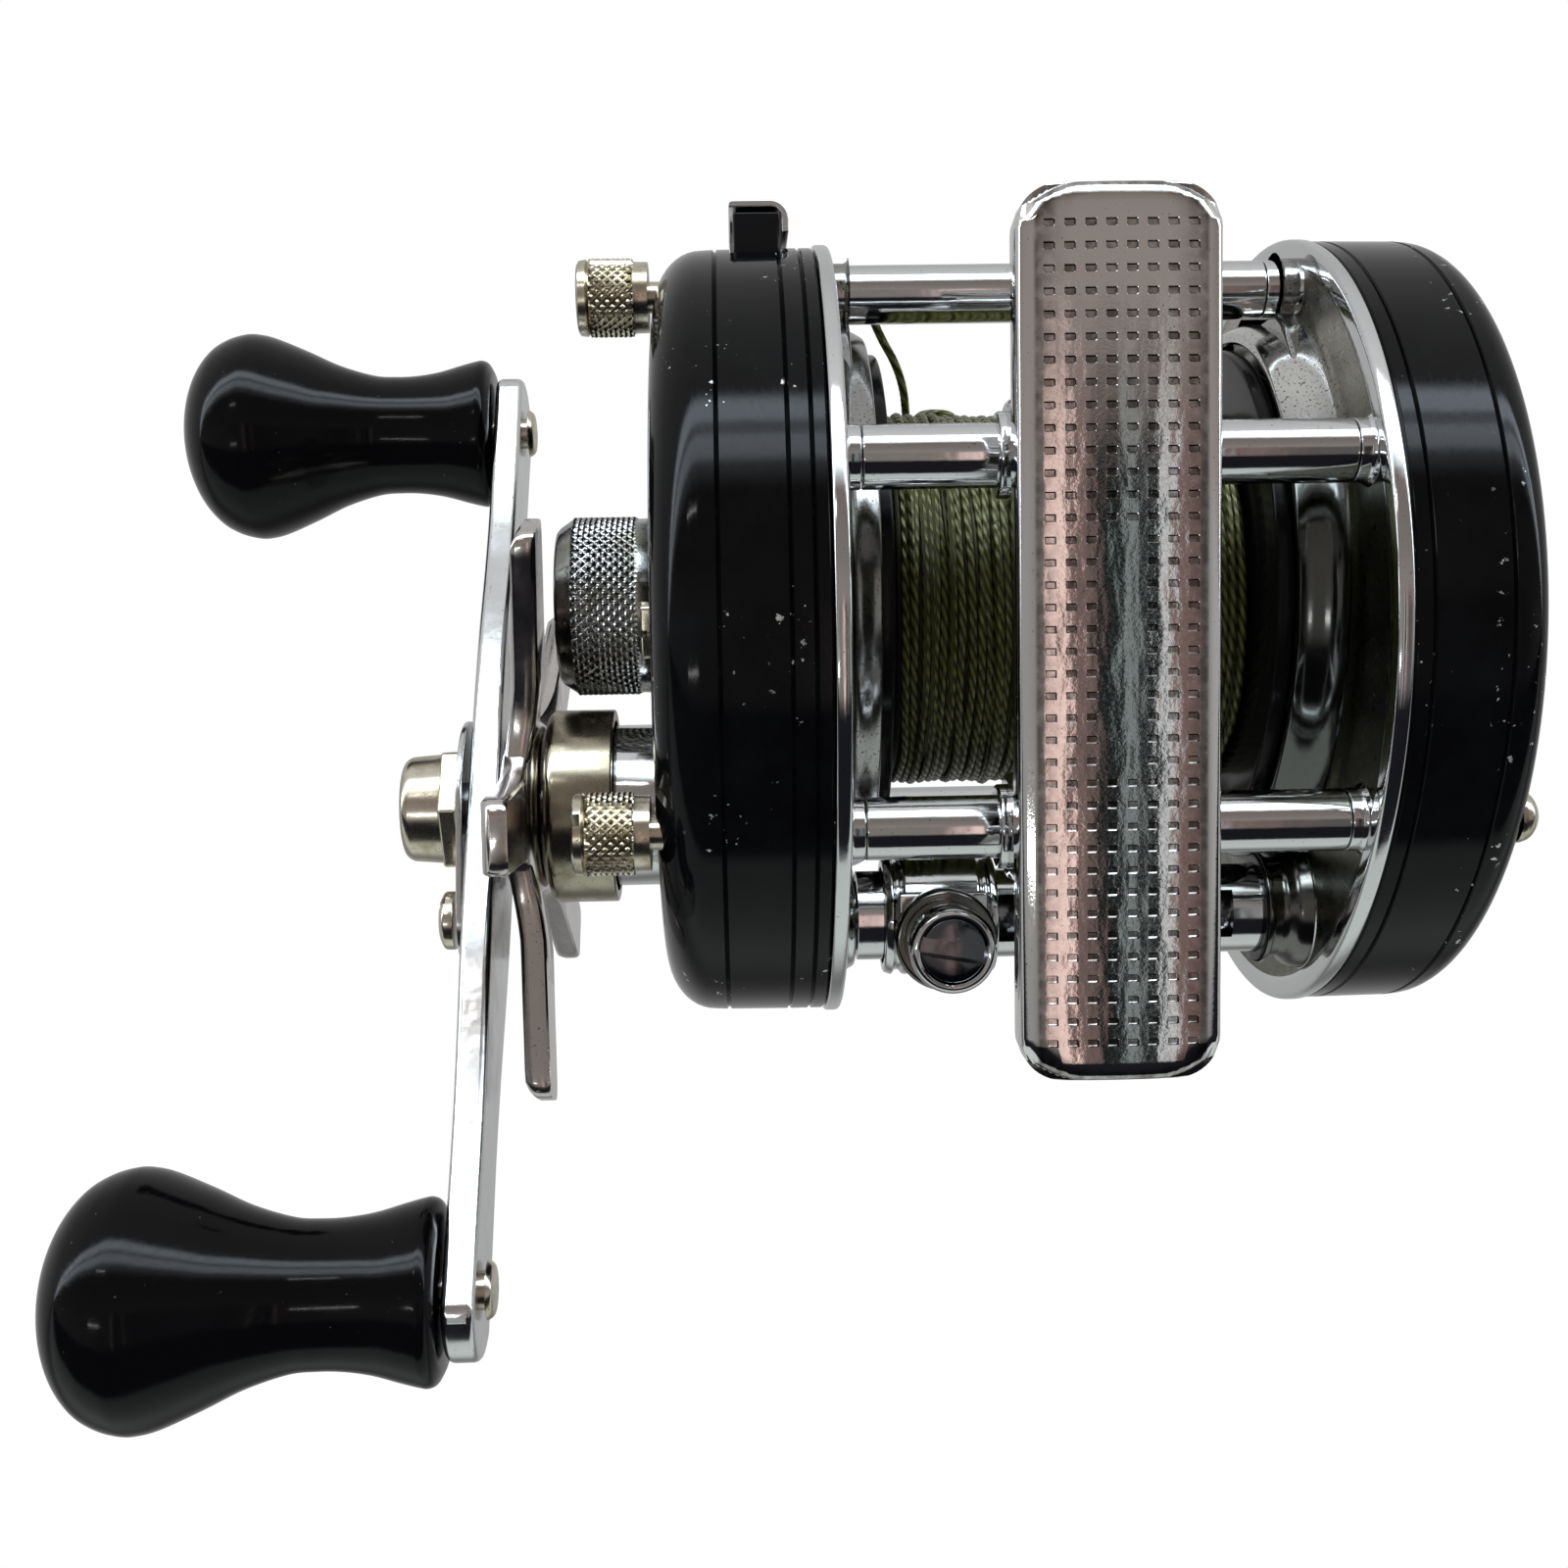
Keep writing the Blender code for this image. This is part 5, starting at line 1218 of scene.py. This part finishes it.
def worm(mat):
    """Shaft with crossed grooves, cut deep and joined at both ends of its travel."""
    low, high = span("worm", 0)
    start = -13.4
    stop = 14.2
    pitch = 5.2

    def grooves(x, turn):
        if not start + 0.8 < x < stop - 0.8:
            return 0.0
        deep = 0.0
        for way in (1, -1):
            lap = way * x / pitch + turn / (2 * math.pi)
            off = abs(lap - round(lap)) * pitch
            deep = max(deep, min(1.0, max(0.0, (1.0 - off) / 0.35)))
        return -0.75 * deep

    profile = [(low, 0), (low, 1.0), (start, 1.0)]
    steps = 150
    profile += [(start + (stop - start) * i / steps, 2.1) for i in range(steps + 1)]
    profile += [(stop, 1.0), (high, 1.0), (high, 0)]
    piece = lathe("level_wind_worm", profile[::-1], WORM, mat, 56, field=grooves)
    settle(piece, "worm_shaft", "steel", "worm")


def carriage(mats):
    """Sleeve on the tube with turned necks, pawl housing below and line eye above."""
    x = CARRIAGE_X
    y, z = WORM
    bore = 3.5
    left = x - CARRIAGE_HALF
    right = x + CARRIAGE_HALF
    profile = rounded([(left, bore), (left, 4.1, 0.15), (left + 0.55, 4.3, 0.1), (left + 0.8, 3.95, 0.1),
                       (left + 1.1, 3.95, 0.1), (left + 1.35, 4.3, 0.2), (right - 1.3, 4.3, 0.2),
                       (right - 1.05, 4.0, 0.1), (right - 0.75, 4.0, 0.1), (right - 0.5, 4.3, 0.2),
                       (right, 4.15, 0.15), (right, bore)], closed=True)
    sleeve = lathe("guide_sleeve", profile[::-1], WORM, mats["chrome"], 72, closed=True)
    cap = (x, sum(span("pawl_cap", 1)) / 2)
    top = z - 3.4
    low = z - 6.4
    housing = rounded([(low, 1.2), (low, 3.35, 0.15), (low + 0.25, 3.55, 0.1), (low + 1.2, 3.55, 0.4),
                       (top, 3.3), (top, 1.2)], closed=True)
    housing = lathe("guide_pawl_housing", housing, cap, mats["housing"], 64, axis="Z", closed=True)
    bridge = slab("guide_bridge", rectangle(x - 3.2, y - 2.2, x + 3.2, y + 2.6), top - 1.2, top + 0.2,
                  mats["chrome"], 0.3, axis="Z")
    riser = slab("guide_riser", rectangle(y - 1.5, z + 3.8, y + 2.3, z + 8.0), x - 3.4, x + 3.4,
                 mats["chrome"], 0.4)
    hole = [(x - 9, 0), (x - 9, 1.2), (x + 9, 1.2), (x + 9, 0)]
    carve(riser, lathe("guide_bar_tool", hole[::-1], middle("carriage_guide_bar"), mats["chrome"], 40))
    eye_z = z + 13.25
    squareness = 0.55              # 1 would give an ellipse, 0 a rectangle
    outlines = []
    for half_wide, half_tall in ((3.4, 5.75), (1.45, 3.95)):
        ring = []
        for i in range(48):
            a = 2 * math.pi * i / 48
            across = math.copysign(abs(math.cos(a)) ** squareness, math.cos(a))
            up = math.copysign(abs(math.sin(a)) ** squareness, math.sin(a))
            ring.append((x + half_wide * across, eye_z + half_tall * up))
        outlines.append(ring)
    outer, inner = outlines
    roll = [(-0.4, 0.0), (0.05, 0.35), (0.5, 0.45), (0.95, 0.35), (1.4, 0.0)]
    verts = []
    rings = []
    for ring, steps, swell in ((outer, roll, 0.25), (inner, roll[::-1], -0.7)):
        for depth, bulge in steps:
            here = []
            for px, pz in ring:
                away = Vector((px - x, pz - eye_z)).normalized() * (bulge * swell - 0.1)
                here.append(len(verts))
                verts.append((px + away.x, y + depth, pz + away.y))
            rings.append(here)
    faces = []
    for k in range(len(rings)):
        first = rings[k]
        second = rings[(k + 1) % len(rings)]
        for i in range(48):
            j = (i + 1) % 48
            faces.append((first[i], first[j], second[j], second[i]))
    line_eye = new_piece("guide_line_eye", verts, faces, mats["chrome"])
    tidy_normals(line_eye)
    whole = merge("level_wind_carriage", [sleeve, housing, bridge, riser, line_eye])
    settle(whole, "carriage", "polished_chrome", "line_guide")


def pawl_cap(mats):
    """Screw cap of the pawl: a bright rim round a dark face, with a worn slot across it."""
    low, high = span("pawl_cap", 2)
    centre = (CARRIAGE_X, sum(span("pawl_cap", 1)) / 2)
    profile = rounded([(high, 2.1), (high, 2.95, 0.2), (low + 0.45, 2.95, 0.1), (low + 0.12, 2.75, 0.12),
                       (low, 2.5, 0.1), (low + 0.1, 2.3), (low + 0.35, 2.25), (low + 1.6, 2.1)], closed=True)
    ring = lathe("pawl_cap_ring", profile, centre, mats["chrome"], 64, axis="Z", closed=True)
    settle(ring, "carriage", "polished_chrome", "pawl_cap")
    profile = rounded([(low + 1.5, 0), (low + 1.5, 2.22), (low + 0.22, 2.22, 0.2), (low + 0.12, 1.6),
                       (low + 0.06, 0)])
    black = mats["black_chrome"]
    face = lathe("pawl_cap_face", profile, centre, black, 64, axis="Z")
    tidy_normals(face)
    carve(face, slot_tool(centre, math.radians(10), 3.0, 0.62, low - 1.0, low + 0.95, black, "Z"))
    soften(face, 0.12, 3)
    settle(face, "carriage", "polished_chrome")


def worm_end(mats):
    """Brass bush and black washer in a flared housing, where the worm meets the tail ring."""
    bush = [(13.0, 1.35), (13.0, 2.4, 0.2), (16.9, 2.4, 0.2), (16.9, 1.35)]
    turned("worm_bush", bush, WORM, mats["brass"], 48, "frame", "brass", closed=True)
    stop = CARRIAGE_X + CARRIAGE_HALF + joint("carriage_travel", "range_m")[1] + 0.15
    flare = [(stop + 0.55, 3.25), (stop + 0.55, 4.0, 0.2), (15.0, 4.05, 0.2), (15.5, 3.75, 0.3),
             (16.3, 3.6, 0.2), (16.6, 3.75, 0.1), (17.2, 4.3, 0.3), (18.1, 4.5), (18.1, 3.25)]
    turned("worm_end_housing", flare, WORM, mats["housing"], 72, "frame", "polished_chrome", closed=True)
    band = [(stop, 3.25), (stop, 3.85, 0.15), (stop + 0.5, 3.85, 0.15), (stop + 0.5, 3.25)]
    turned("worm_end_washer", band, WORM, mats["dark"], 64, "frame", "black_enamel", closed=True)


def guide_bar(mat):
    """Thin bar that keeps the line guide upright."""
    low, high = span("carriage_guide_bar", 0)
    points = [(low, 0), (low, 1.0, 0.2), (high, 1.0, 0.2), (high, 0)]
    turned("guide_rod", points, middle("carriage_guide_bar"), mat, 40, "frame", "polished_chrome",
           "carriage_guide_bar")


# ---------------------------------------------------------------- crank
def tilted(points):
    """Turns points about the crank's shaft by the handle's tilt."""
    result = []
    for s, t in points:
        result.append((CRANK[0] + s * math.cos(TILT) - t * math.sin(TILT),
                       CRANK[1] + s * math.sin(TILT) + t * math.cos(TILT)))
    return result


def round_end(centre, radius, start, stop, count):
    """Points on an arc about a place along the crank, turned from start to stop in degrees."""
    turns = [math.radians(start + (stop - start) * i / count) for i in range(count + 1)]
    return [(centre + radius * math.cos(a), radius * math.sin(a)) for a in turns]


ARM_REACH = math.hypot(KNOB_NEAR[0] - CRANK[0], KNOB_NEAR[1] - CRANK[1])


def handle_arm(mats):
    """The crank's flat arm, waisted between its middle and its round ends."""
    end_r = 4.6
    flank = [(ARM_REACH - 8.6, 3.65), (ARM_REACH - 15, 3.95), (13.0, 5.0), (7.0, 5.35), (0.0, 5.4)]
    top = flank + [(-s, t) for s, t in flank[-2::-1]]
    shape = round_end(ARM_REACH, end_r, -62, 62, 20)
    near = shape[-1]
    shape += smooth_open([near] + top + [(-near[0], near[1])])[1:-1]
    shape += round_end(-ARM_REACH, end_r, 118, 242, 20)
    shape += smooth_open([(-near[0], -near[1])] + [(-s, -t) for s, t in top] + [(near[0], -near[1])])[1:-1]
    low, high = span("handle_arm", 0)
    arm = slab("crank_arm", tilted(shape), low, high, mats["arm"], 0.55)
    settle(arm, "crank", "polished_chrome", "handle_arm")


LOCK_REACH = 9.3


def lock_plate(mats):
    """Thin plate that holds the nut, with a tongue for its screw."""
    low, high = span("nut_lock_plate", 0)
    shape = round_end(LOCK_REACH, 2.9, -70, 70, 16) + round_end(0.0, 6.6, 55, 305, 40)
    plate = slab("lock_plate", tilted(shape), low, high, mats["arm"], 0.14)
    settle(plate, "crank", "polished_chrome", "nut_lock_plate")


def lock_screw(mats):
    """Small slotted screw through the lock plate."""
    low = span("lock_plate_screw", 0)[0]
    centre = tilted([(LOCK_REACH, 0.0)])[0]
    head = low + 1.15
    profile = rounded([(low, 0), (low + 0.05, 1.5), (low + 0.35, 2.15, 0.25), (head, 2.15, 0.15), (head, 0)])
    screw = lathe("lock_screw", profile[::-1], centre, mats["nickel"], 48)
    carve(screw, slot_tool(centre, math.radians(38), 3.0, 0.3, low - 2, low + 0.55, mats["nickel"]))
    soften(screw, 0.05, 2)
    settle(screw, "crank", "warm_nickel", "lock_plate_screw")


NUT_R = 4.95                   # from the nut's middle to its corners


def handle_nut(mats):
    """Hexagon with chamfered corners under a round, slightly tapered crown."""
    low, high = span("handle_nut", 0)
    hexagon = []
    for i in range(6):
        hexagon.append(polar(CRANK, NUT_R, math.pi / 3 * i + TILT))
    flats = slab("nut_flats", hexagon, high - 1.35, high, mats["nickel"], 0.22)
    profile = rounded([(low + 0.05, 0), (low, 1.2), (low, 3.55, 0.35), (low + 0.5, 3.95, 0.3),
                       (high - 1.4, 4.15, 0.2), (high - 1.1, 4.1), (high - 1.1, 0)])
    crown = lathe("nut_round", profile[::-1], CRANK, mats["nickel"], 72)
    nut = merge("crank_nut", [crown, flats])
    settle(nut, "crank", "warm_nickel", "handle_nut")
    low, high = span("drive_shaft", 0)
    shaft = [(low + 0.4, 0), (low + 0.4, 2.0, 0.3), (high, 2.0, 0.2), (high, 0)]
    turned("crank_shaft", shaft, CRANK, mats["steel"], 40, "crank", "steel", "drive_shaft")


def knob(name, node, body, pin, centre, mats):
    """Waisted grip with a round end, and the pin that it turns on."""
    end, base = span(node, 0)
    outside = [(base, 5.05), (base - 0.12, 5.4), (base - 0.45, 5.95), (base - 0.9, 6.15), (base - 1.4, 6.1),
              (base - 2.6, 5.8), (base - 4.6, 5.25), (base - 6.5, 4.96), (base - 8.3, 4.9),
              (base - 10.2, 5.05), (base - 13.0, 5.9), (base - 15.6, 7.1), (base - 18.2, 8.2),
              (base - 19.6, 8.55), (base - 20.6, 8.55), (base - 21.9, 8.2), (base - 23.2, 7.45),
              (base - 24.4, 6.1), (base - 25.3, 4.3), (base - 25.85, 2.2), (end, 0.0)]
    profile = [(base - 21.5, 0), (base - 21.5, 1.7), (base, 1.7)] + smooth_open(outside, 6)
    grip = lathe(name, profile, centre, mats["knob"], 120)
    tidy_normals(grip)
    grip.data.set_sharp_from_angle(angle=math.radians(40))
    settle(grip, body, "black_plastic", node)
    low, high = span(pin, 0)
    rivet = [(low, 0), (low, 1.3, 0.2), (high - 0.7, 1.3), (high - 0.7, 2.0, 0.1), (high - 0.2, 1.7, 0.3),
             (high, 0)]
    turned(pin + "_rivet", rivet, centre, mats["nickel"], 40, "crank", "warm_nickel", pin)


STAR_FACE = -39.7
STAR_THICK = 1.85
STAR_LEAST_BEND = 0.43         # of the arm that points at the foot, against the others
STAR_TIP = (20.6, 1.4)         # where an arm's tip starts to slope, and over what length


def star(mats):
    """Turned hub with five bent arms, hollowed between them and bevelled at their tips."""
    profile = rounded([(STAR_FACE, 2.35), (STAR_FACE, 3.6, 0.3), (-39.35, 6.0, 0.3), (-39.1, 6.6, 0.3),
                       (-37.8, 6.9, 0.5), (-36.9, 6.1, 0.4), (-36.9, 2.35)], closed=True)
    hub = lathe("star_hub", profile[::-1], CRANK, mats["star"], 96, closed=True)
    parts = [hub]
    shape = [(3.0, 0.02, 5.6), (5.0, 0.22, 4.6), (6.6, 0.45, 3.75), (8.2, 0.74, 3.3), (9.4, 0.94, 3.15),
             (10.6, 1.10, 3.04), (11.8, 1.16, 2.96), (13.6, 1.22, 2.85), (15.8, 1.30, 2.75),
             (18.0, 1.39, 2.67), (20.0, 1.46, 2.6), (20.9, 1.49, 2.55), (21.5, 1.5, 2.42),
             (21.85, 1.5, 2.1), (22.0, 1.5, 1.55)]
    for i in range(5):
        turn = -math.pi / 2 + 2 * math.pi * i / 5
        out, side = directions(turn)
        bend = STAR_LEAST_BEND if i == 0 else 1.0
        verts = []
        ring = [(0.0, -0.90), (0.0, 0.90), (0.16, 0.97), (0.45, 1.0), (1.4, 1.0), (1.7, 0.97),
                (STAR_THICK, 0.90), (STAR_THICK, -0.90), (1.7, -0.97), (1.4, -1.0), (0.45, -1.0),
                (0.16, -0.97)]
        for reach, drop, half in shape:
            tip = max(0.0, (reach - STAR_TIP[0]) / STAR_TIP[1])
            for dx, share in ring:
                lift = dx if dx > 0.8 else dx + 0.75 * tip ** 2
                point = Vector(CRANK) + out * reach + side * half * share
                verts.append((STAR_FACE + drop * bend + min(lift, STAR_THICK), point.x, point.y))
        count = len(ring)
        faces = [tuple(range(count)), tuple(len(verts) - count + k for k in range(count))]
        for s in range(len(shape) - 1):
            for k in range(count):
                after = (k + 1) % count
                faces.append((count * s + k, count * s + after, count * s + count + after,
                              count * s + count + k))
        arm = new_piece("star_arm_%d" % i, verts, faces, mats["star"])
        tidy_normals(arm)
        arm.data.set_sharp_from_angle(angle=math.radians(36))
        parts.append(arm)
    whole = merge("drag_star", parts)
    settle(whole, "star", "polished_chrome", "star_drag")


def star_sleeve(mats):
    """Stepped sleeve under the star wheel, and the boss round the shaft."""
    sleeve = [(-36.6, 2.3), (-36.6, 6.8, 0.25), (-36.15, 7.3, 0.3), (-31.6, 7.3, 0.15), (-31.6, 6.5),
              (-35.2, 6.5), (-35.2, 3.2), (-24.6, 3.2), (-24.6, 2.3)]
    turned("drag_sleeve", sleeve, CRANK, mats["sleeve"], 96, "star", "warm_nickel", "star_sleeve",
           closed=True)
    boss = [(-32.2, 3.6), (-32.2, 6.1, 0.2), (-28.6, 6.1), (-28.2, 6.35), (-27.7, 6.5), (-26.3, 6.1),
            (-26.3, 7.4), (-25.6, 7.4), (-25.6, 3.6)]
    turned("shaft_boss", boss, CRANK, mats["chrome"], 96, "frame", "polished_chrome", "drive_shaft_boss",
           closed=True)


# ---------------------------------------------------------------- caps, screws, buttons
def dense_profile(points, step, low, high):
    """Adds points between low and high, close enough to carry a knurl."""
    result = []
    for first, second in zip(points, points[1:]):
        a, b = Vector(first), Vector(second)
        inside = low - 0.01 <= min(a.x, b.x) and max(a.x, b.x) <= high + 0.01
        parts = max(1, math.ceil((b - a).length / step)) if inside and abs(a.x - b.x) > 0.01 else 1
        result += [tuple(a.lerp(b, k / parts)) for k in range(parts)]
    result.append(tuple(points[-1]))
    return result


def cast_cap(mats):
    """Knurled cap over the spool's bearing."""
    end = -35.7
    low, high = -34.4, -29.75
    points = [(end + 0.15, 0), (end, 1.0), (end, 5.7), (end + 0.25, 6.0), (low - 0.15, 6.62), (low, 6.78),
              (high, 6.78), (high + 0.12, 6.66), (high + 0.3, 6.62), (-28.75, 6.66), (-28.5, 6.5),
              (-28.5, 5.35), (end + 1.2, 5.35), (end + 1.2, 0)]
    profile = dense_profile(points, 0.10, low, high)
    cap = lathe("cast_cap", profile, SPOOL, mats["cap"], 416, field=knurl(low, high, 52, 0.81, 0.30))
    tidy_normals(cap)
    cap.data.set_sharp_from_angle(angle=KNURL_SMOOTH)
    settle(cap, "cast_cap", "polished_chrome", "cast_control_cap")


def cap_tab(mats):
    """Small sprung tab beside the cap, with a slot across it."""
    away = math.radians(-74)
    out, side = directions(away)
    outline = []
    for r, s in ((6.85, -2.2), (7.7, -1.9), (8.0, 0.0), (7.7, 1.9), (6.85, 2.2), (7.05, 0.0)):
        point = Vector(SPOOL) + out * r + side * s
        outline.append((point.x, point.y))
    tab = slab("cap_click_tab", outline, -29.3, -27.9, mats["nickel"], 0.2)
    carve(tab, slot_tool(Vector(SPOOL) + out * 7.6, away, 2.0, 0.28, -31.0, -28.8, mats["nickel"]))
    settle(tab, "frame", "warm_nickel")


def thumbscrew(key, mats):
    """Knurled screw with a coin slot, on the crank's side."""
    node = "thumbscrew_" + key
    high = span(node, 0)[1]
    low_k, high_k = -32.2, -29.2
    seat = -28.1
    points = [(-33.1, 0), (-33.1, 2.35), (-32.95, 2.6), (-32.45, 2.66), (-32.35, 2.5), (low_k, 2.72),
              (high_k, 2.72), (-29.12, 2.5), (-28.9, 2.46), (seat, 2.45), (seat, 1.1), (high, 1.1), (high, 0)]
    profile = dense_profile(points, 0.09, low_k, high_k)
    screw = lathe("plate_" + node, profile, PILLARS[key], mats["nickel"], 192,
                  field=knurl(low_k, high_k, 24, 0.71, 0.28))
    tidy_normals(screw)
    screw.data.set_sharp_from_angle(angle=KNURL_SMOOTH)
    lean = {"rear_upper": 0.25, "front_lower": 1.1, "front_upper": 2.0}[key]
    carve(screw, slot_tool(PILLARS[key], lean, 4.0, 0.42, -35.0, -32.5, mats["nickel"]))
    settle(screw, "screw_" + key, "warm_nickel", node)


def tail_screw(key, mats):
    """Small domed screw in the tail cover."""
    node = "tail_screw_" + key
    low, high = span(node, 0)
    face = 28.3
    profile = rounded([(low, 0), (low, 1.1), (face - 0.05, 1.1), (face - 0.05, 1.75), (face + 0.2, 1.78, 0.1),
                       (face + 0.75, 1.62, 0.3), (face + 1.2, 1.1, 0.4), (high, 0.5, 0.2), (high, 0)])
    screw = lathe(node + "_dome", profile[::-1], PILLARS[key], mats["nickel"], 56)
    carve(screw, slot_tool(PILLARS[key], 0.0, 3.0, 0.22, face + 0.85, face + 4, mats["nickel"]))
    settle(screw, "frame", "warm_nickel", node)


def free_spool(mats):
    """Chrome thumb strip folded over its slide."""
    low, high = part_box("free_spool_button")
    x0, y0, z0 = (value / MM for value in low)
    x1, y1, z1 = (value / MM for value in high)
    wall = 0.5
    fold = 1.3
    run = [(x0, y0 + 0.15), (x0 + 0.15, y0)]
    for i in range(9):
        a = math.pi / 2 * i / 8
        run.append((x1 - fold + fold * math.sin(a), y0 + fold - fold * math.cos(a)))
    run.append((x1, y1))
    inner = [(x1 - wall, y1)]
    for i in range(9):
        a = math.pi / 2 * (1 - i / 8)
        inner.append((x1 - fold + (fold - wall) * math.sin(a), y0 + fold - (fold - wall) * math.cos(a)))
    inner.append((x0, y0 + wall))
    strip = slab("thumb_strip", run + inner, z0, z1, mats["chrome"], 0.12, axis="Z")
    top = slab("thumb_strip_end", rectangle(x0, y0 + 0.2, x1 - 0.2, y1), z1 - 0.8, z1 - 0.02,
               mats["chrome"], 0.12, axis="Z")
    whole = merge("thumb_bar", [strip, top])
    settle(whole, "thumb_button", "polished_chrome", "free_spool_button")
    low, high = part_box("button_slide")
    x0, y0, z0 = (value / MM for value in low)
    x1, y1, z1 = (value / MM for value in high)
    slide = slab("thumb_slide", rectangle(x0, y0, x1, y1), z0, z1, mats["dark"], 0.25, axis="Z")
    settle(slide, "thumb_button", "black_enamel", "button_slide")


def click(mats):
    """Sliding button of the line alarm, on the tail cover."""
    high = span("click_button", 0)[1]
    face = 28.25
    centre = (middle("click_button")[0], 18.5)
    button = [(face - 2.0, 0), (face - 2.0, 2.4), (face - 1.5, 2.4), (face - 1.5, 1.05),
              (face + 0.3, 1.05), (face + 0.3, 2.4, 0.1), (face + 1.2, 2.3, 0.3), (face + 1.55, 1.6, 0.3),
              (high - 0.15, 0.9, 0.2), (high - 0.2, 0)]
    turned("click_knob", button, centre, mats["chrome"], 64, "click", "polished_chrome", "click_button")


# ---------------------------------------------------------------- pieces inside the covers
def finish_nodes(mats):
    """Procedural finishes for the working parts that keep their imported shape."""
    kinds = {
        "brass": ("main_gear", "pinion_gear", "drive_shaft_bush", "worm_bush_tail_side", "brake_block_holder",
                  "click_gear"),
        "steel": ("gear_plate", "spool_bearing_handle_side", "spool_bearing_tail_side", "brake_drum",
                  "level_wind_cog", "worm_gear", "ratchet_wheel", "drag_washer_steel", "clutch_yoke",
                  "anti_reverse_dog", "spool_axle", "pawl"),
        "fibre": ("drag_washer_fibre", "brake_block_front", "brake_block_rear"),
    }
    for key, names in kinds.items():
        for name in names:
            slots = frame["nodes"][name].data.materials
            slots.clear()
            slots.append(mats[key])


# ---------------------------------------------------------------- the reel
def make_reel():
    """Camera and line first, then the lamps, the floor and every piece."""
    mats = make_materials()
    add_camera()
    loose_line(mats["braid"])
    add_studio()
    add_floor()
    crank_cover(mats["crank_cover"])
    tail_cover(mats["tail_cover"])
    frame_ring("crank_side_ring", "frame_ring_handle_side", CRANK_RING, -12.6, mats, "cup")
    frame_ring("tail_side_ring", "frame_ring_tail_side", TAIL_RING, 15.0, mats, "tail_cup")
    for key in PILLARS:
        pillar(key, mats["chrome"])
    foot(mats)
    spool(mats["spool"])
    wound_line(mats["braid"])
    line_loops(mats["braid"])
    worm_tube(mats["chrome"])
    worm(mats["steel"])
    carriage(mats)
    pawl_cap(mats)
    worm_end(mats)
    guide_bar(mats["chrome"])
    handle_arm(mats)
    lock_plate(mats)
    lock_screw(mats)
    handle_nut(mats)
    knob("near_grip", "knob_near", "knob_front", "knob_pin_near", KNOB_NEAR, mats)
    knob("far_grip", "knob_far", "knob_rear", "knob_pin_far", KNOB_FAR, mats)
    star(mats)
    star_sleeve(mats)
    cast_cap(mats)
    cap_tab(mats)
    for key in SCREWED:
        thumbscrew(key, mats)
        tail_screw(key, mats)
    free_spool(mats)
    click(mats)
    finish_nodes(mats)


make_reel()
add_lamp("near_grip_streak", (-135.0, 42.0, -200.0), (-55.0, 42.0, 12.0), (100.0, 6.0), 0.03)
add_lamp("far_grip_streak", (-135.0, -163.0, -200.0), (-55.0, -18.0, 52.0), (100.0, 6.0), 0.03)
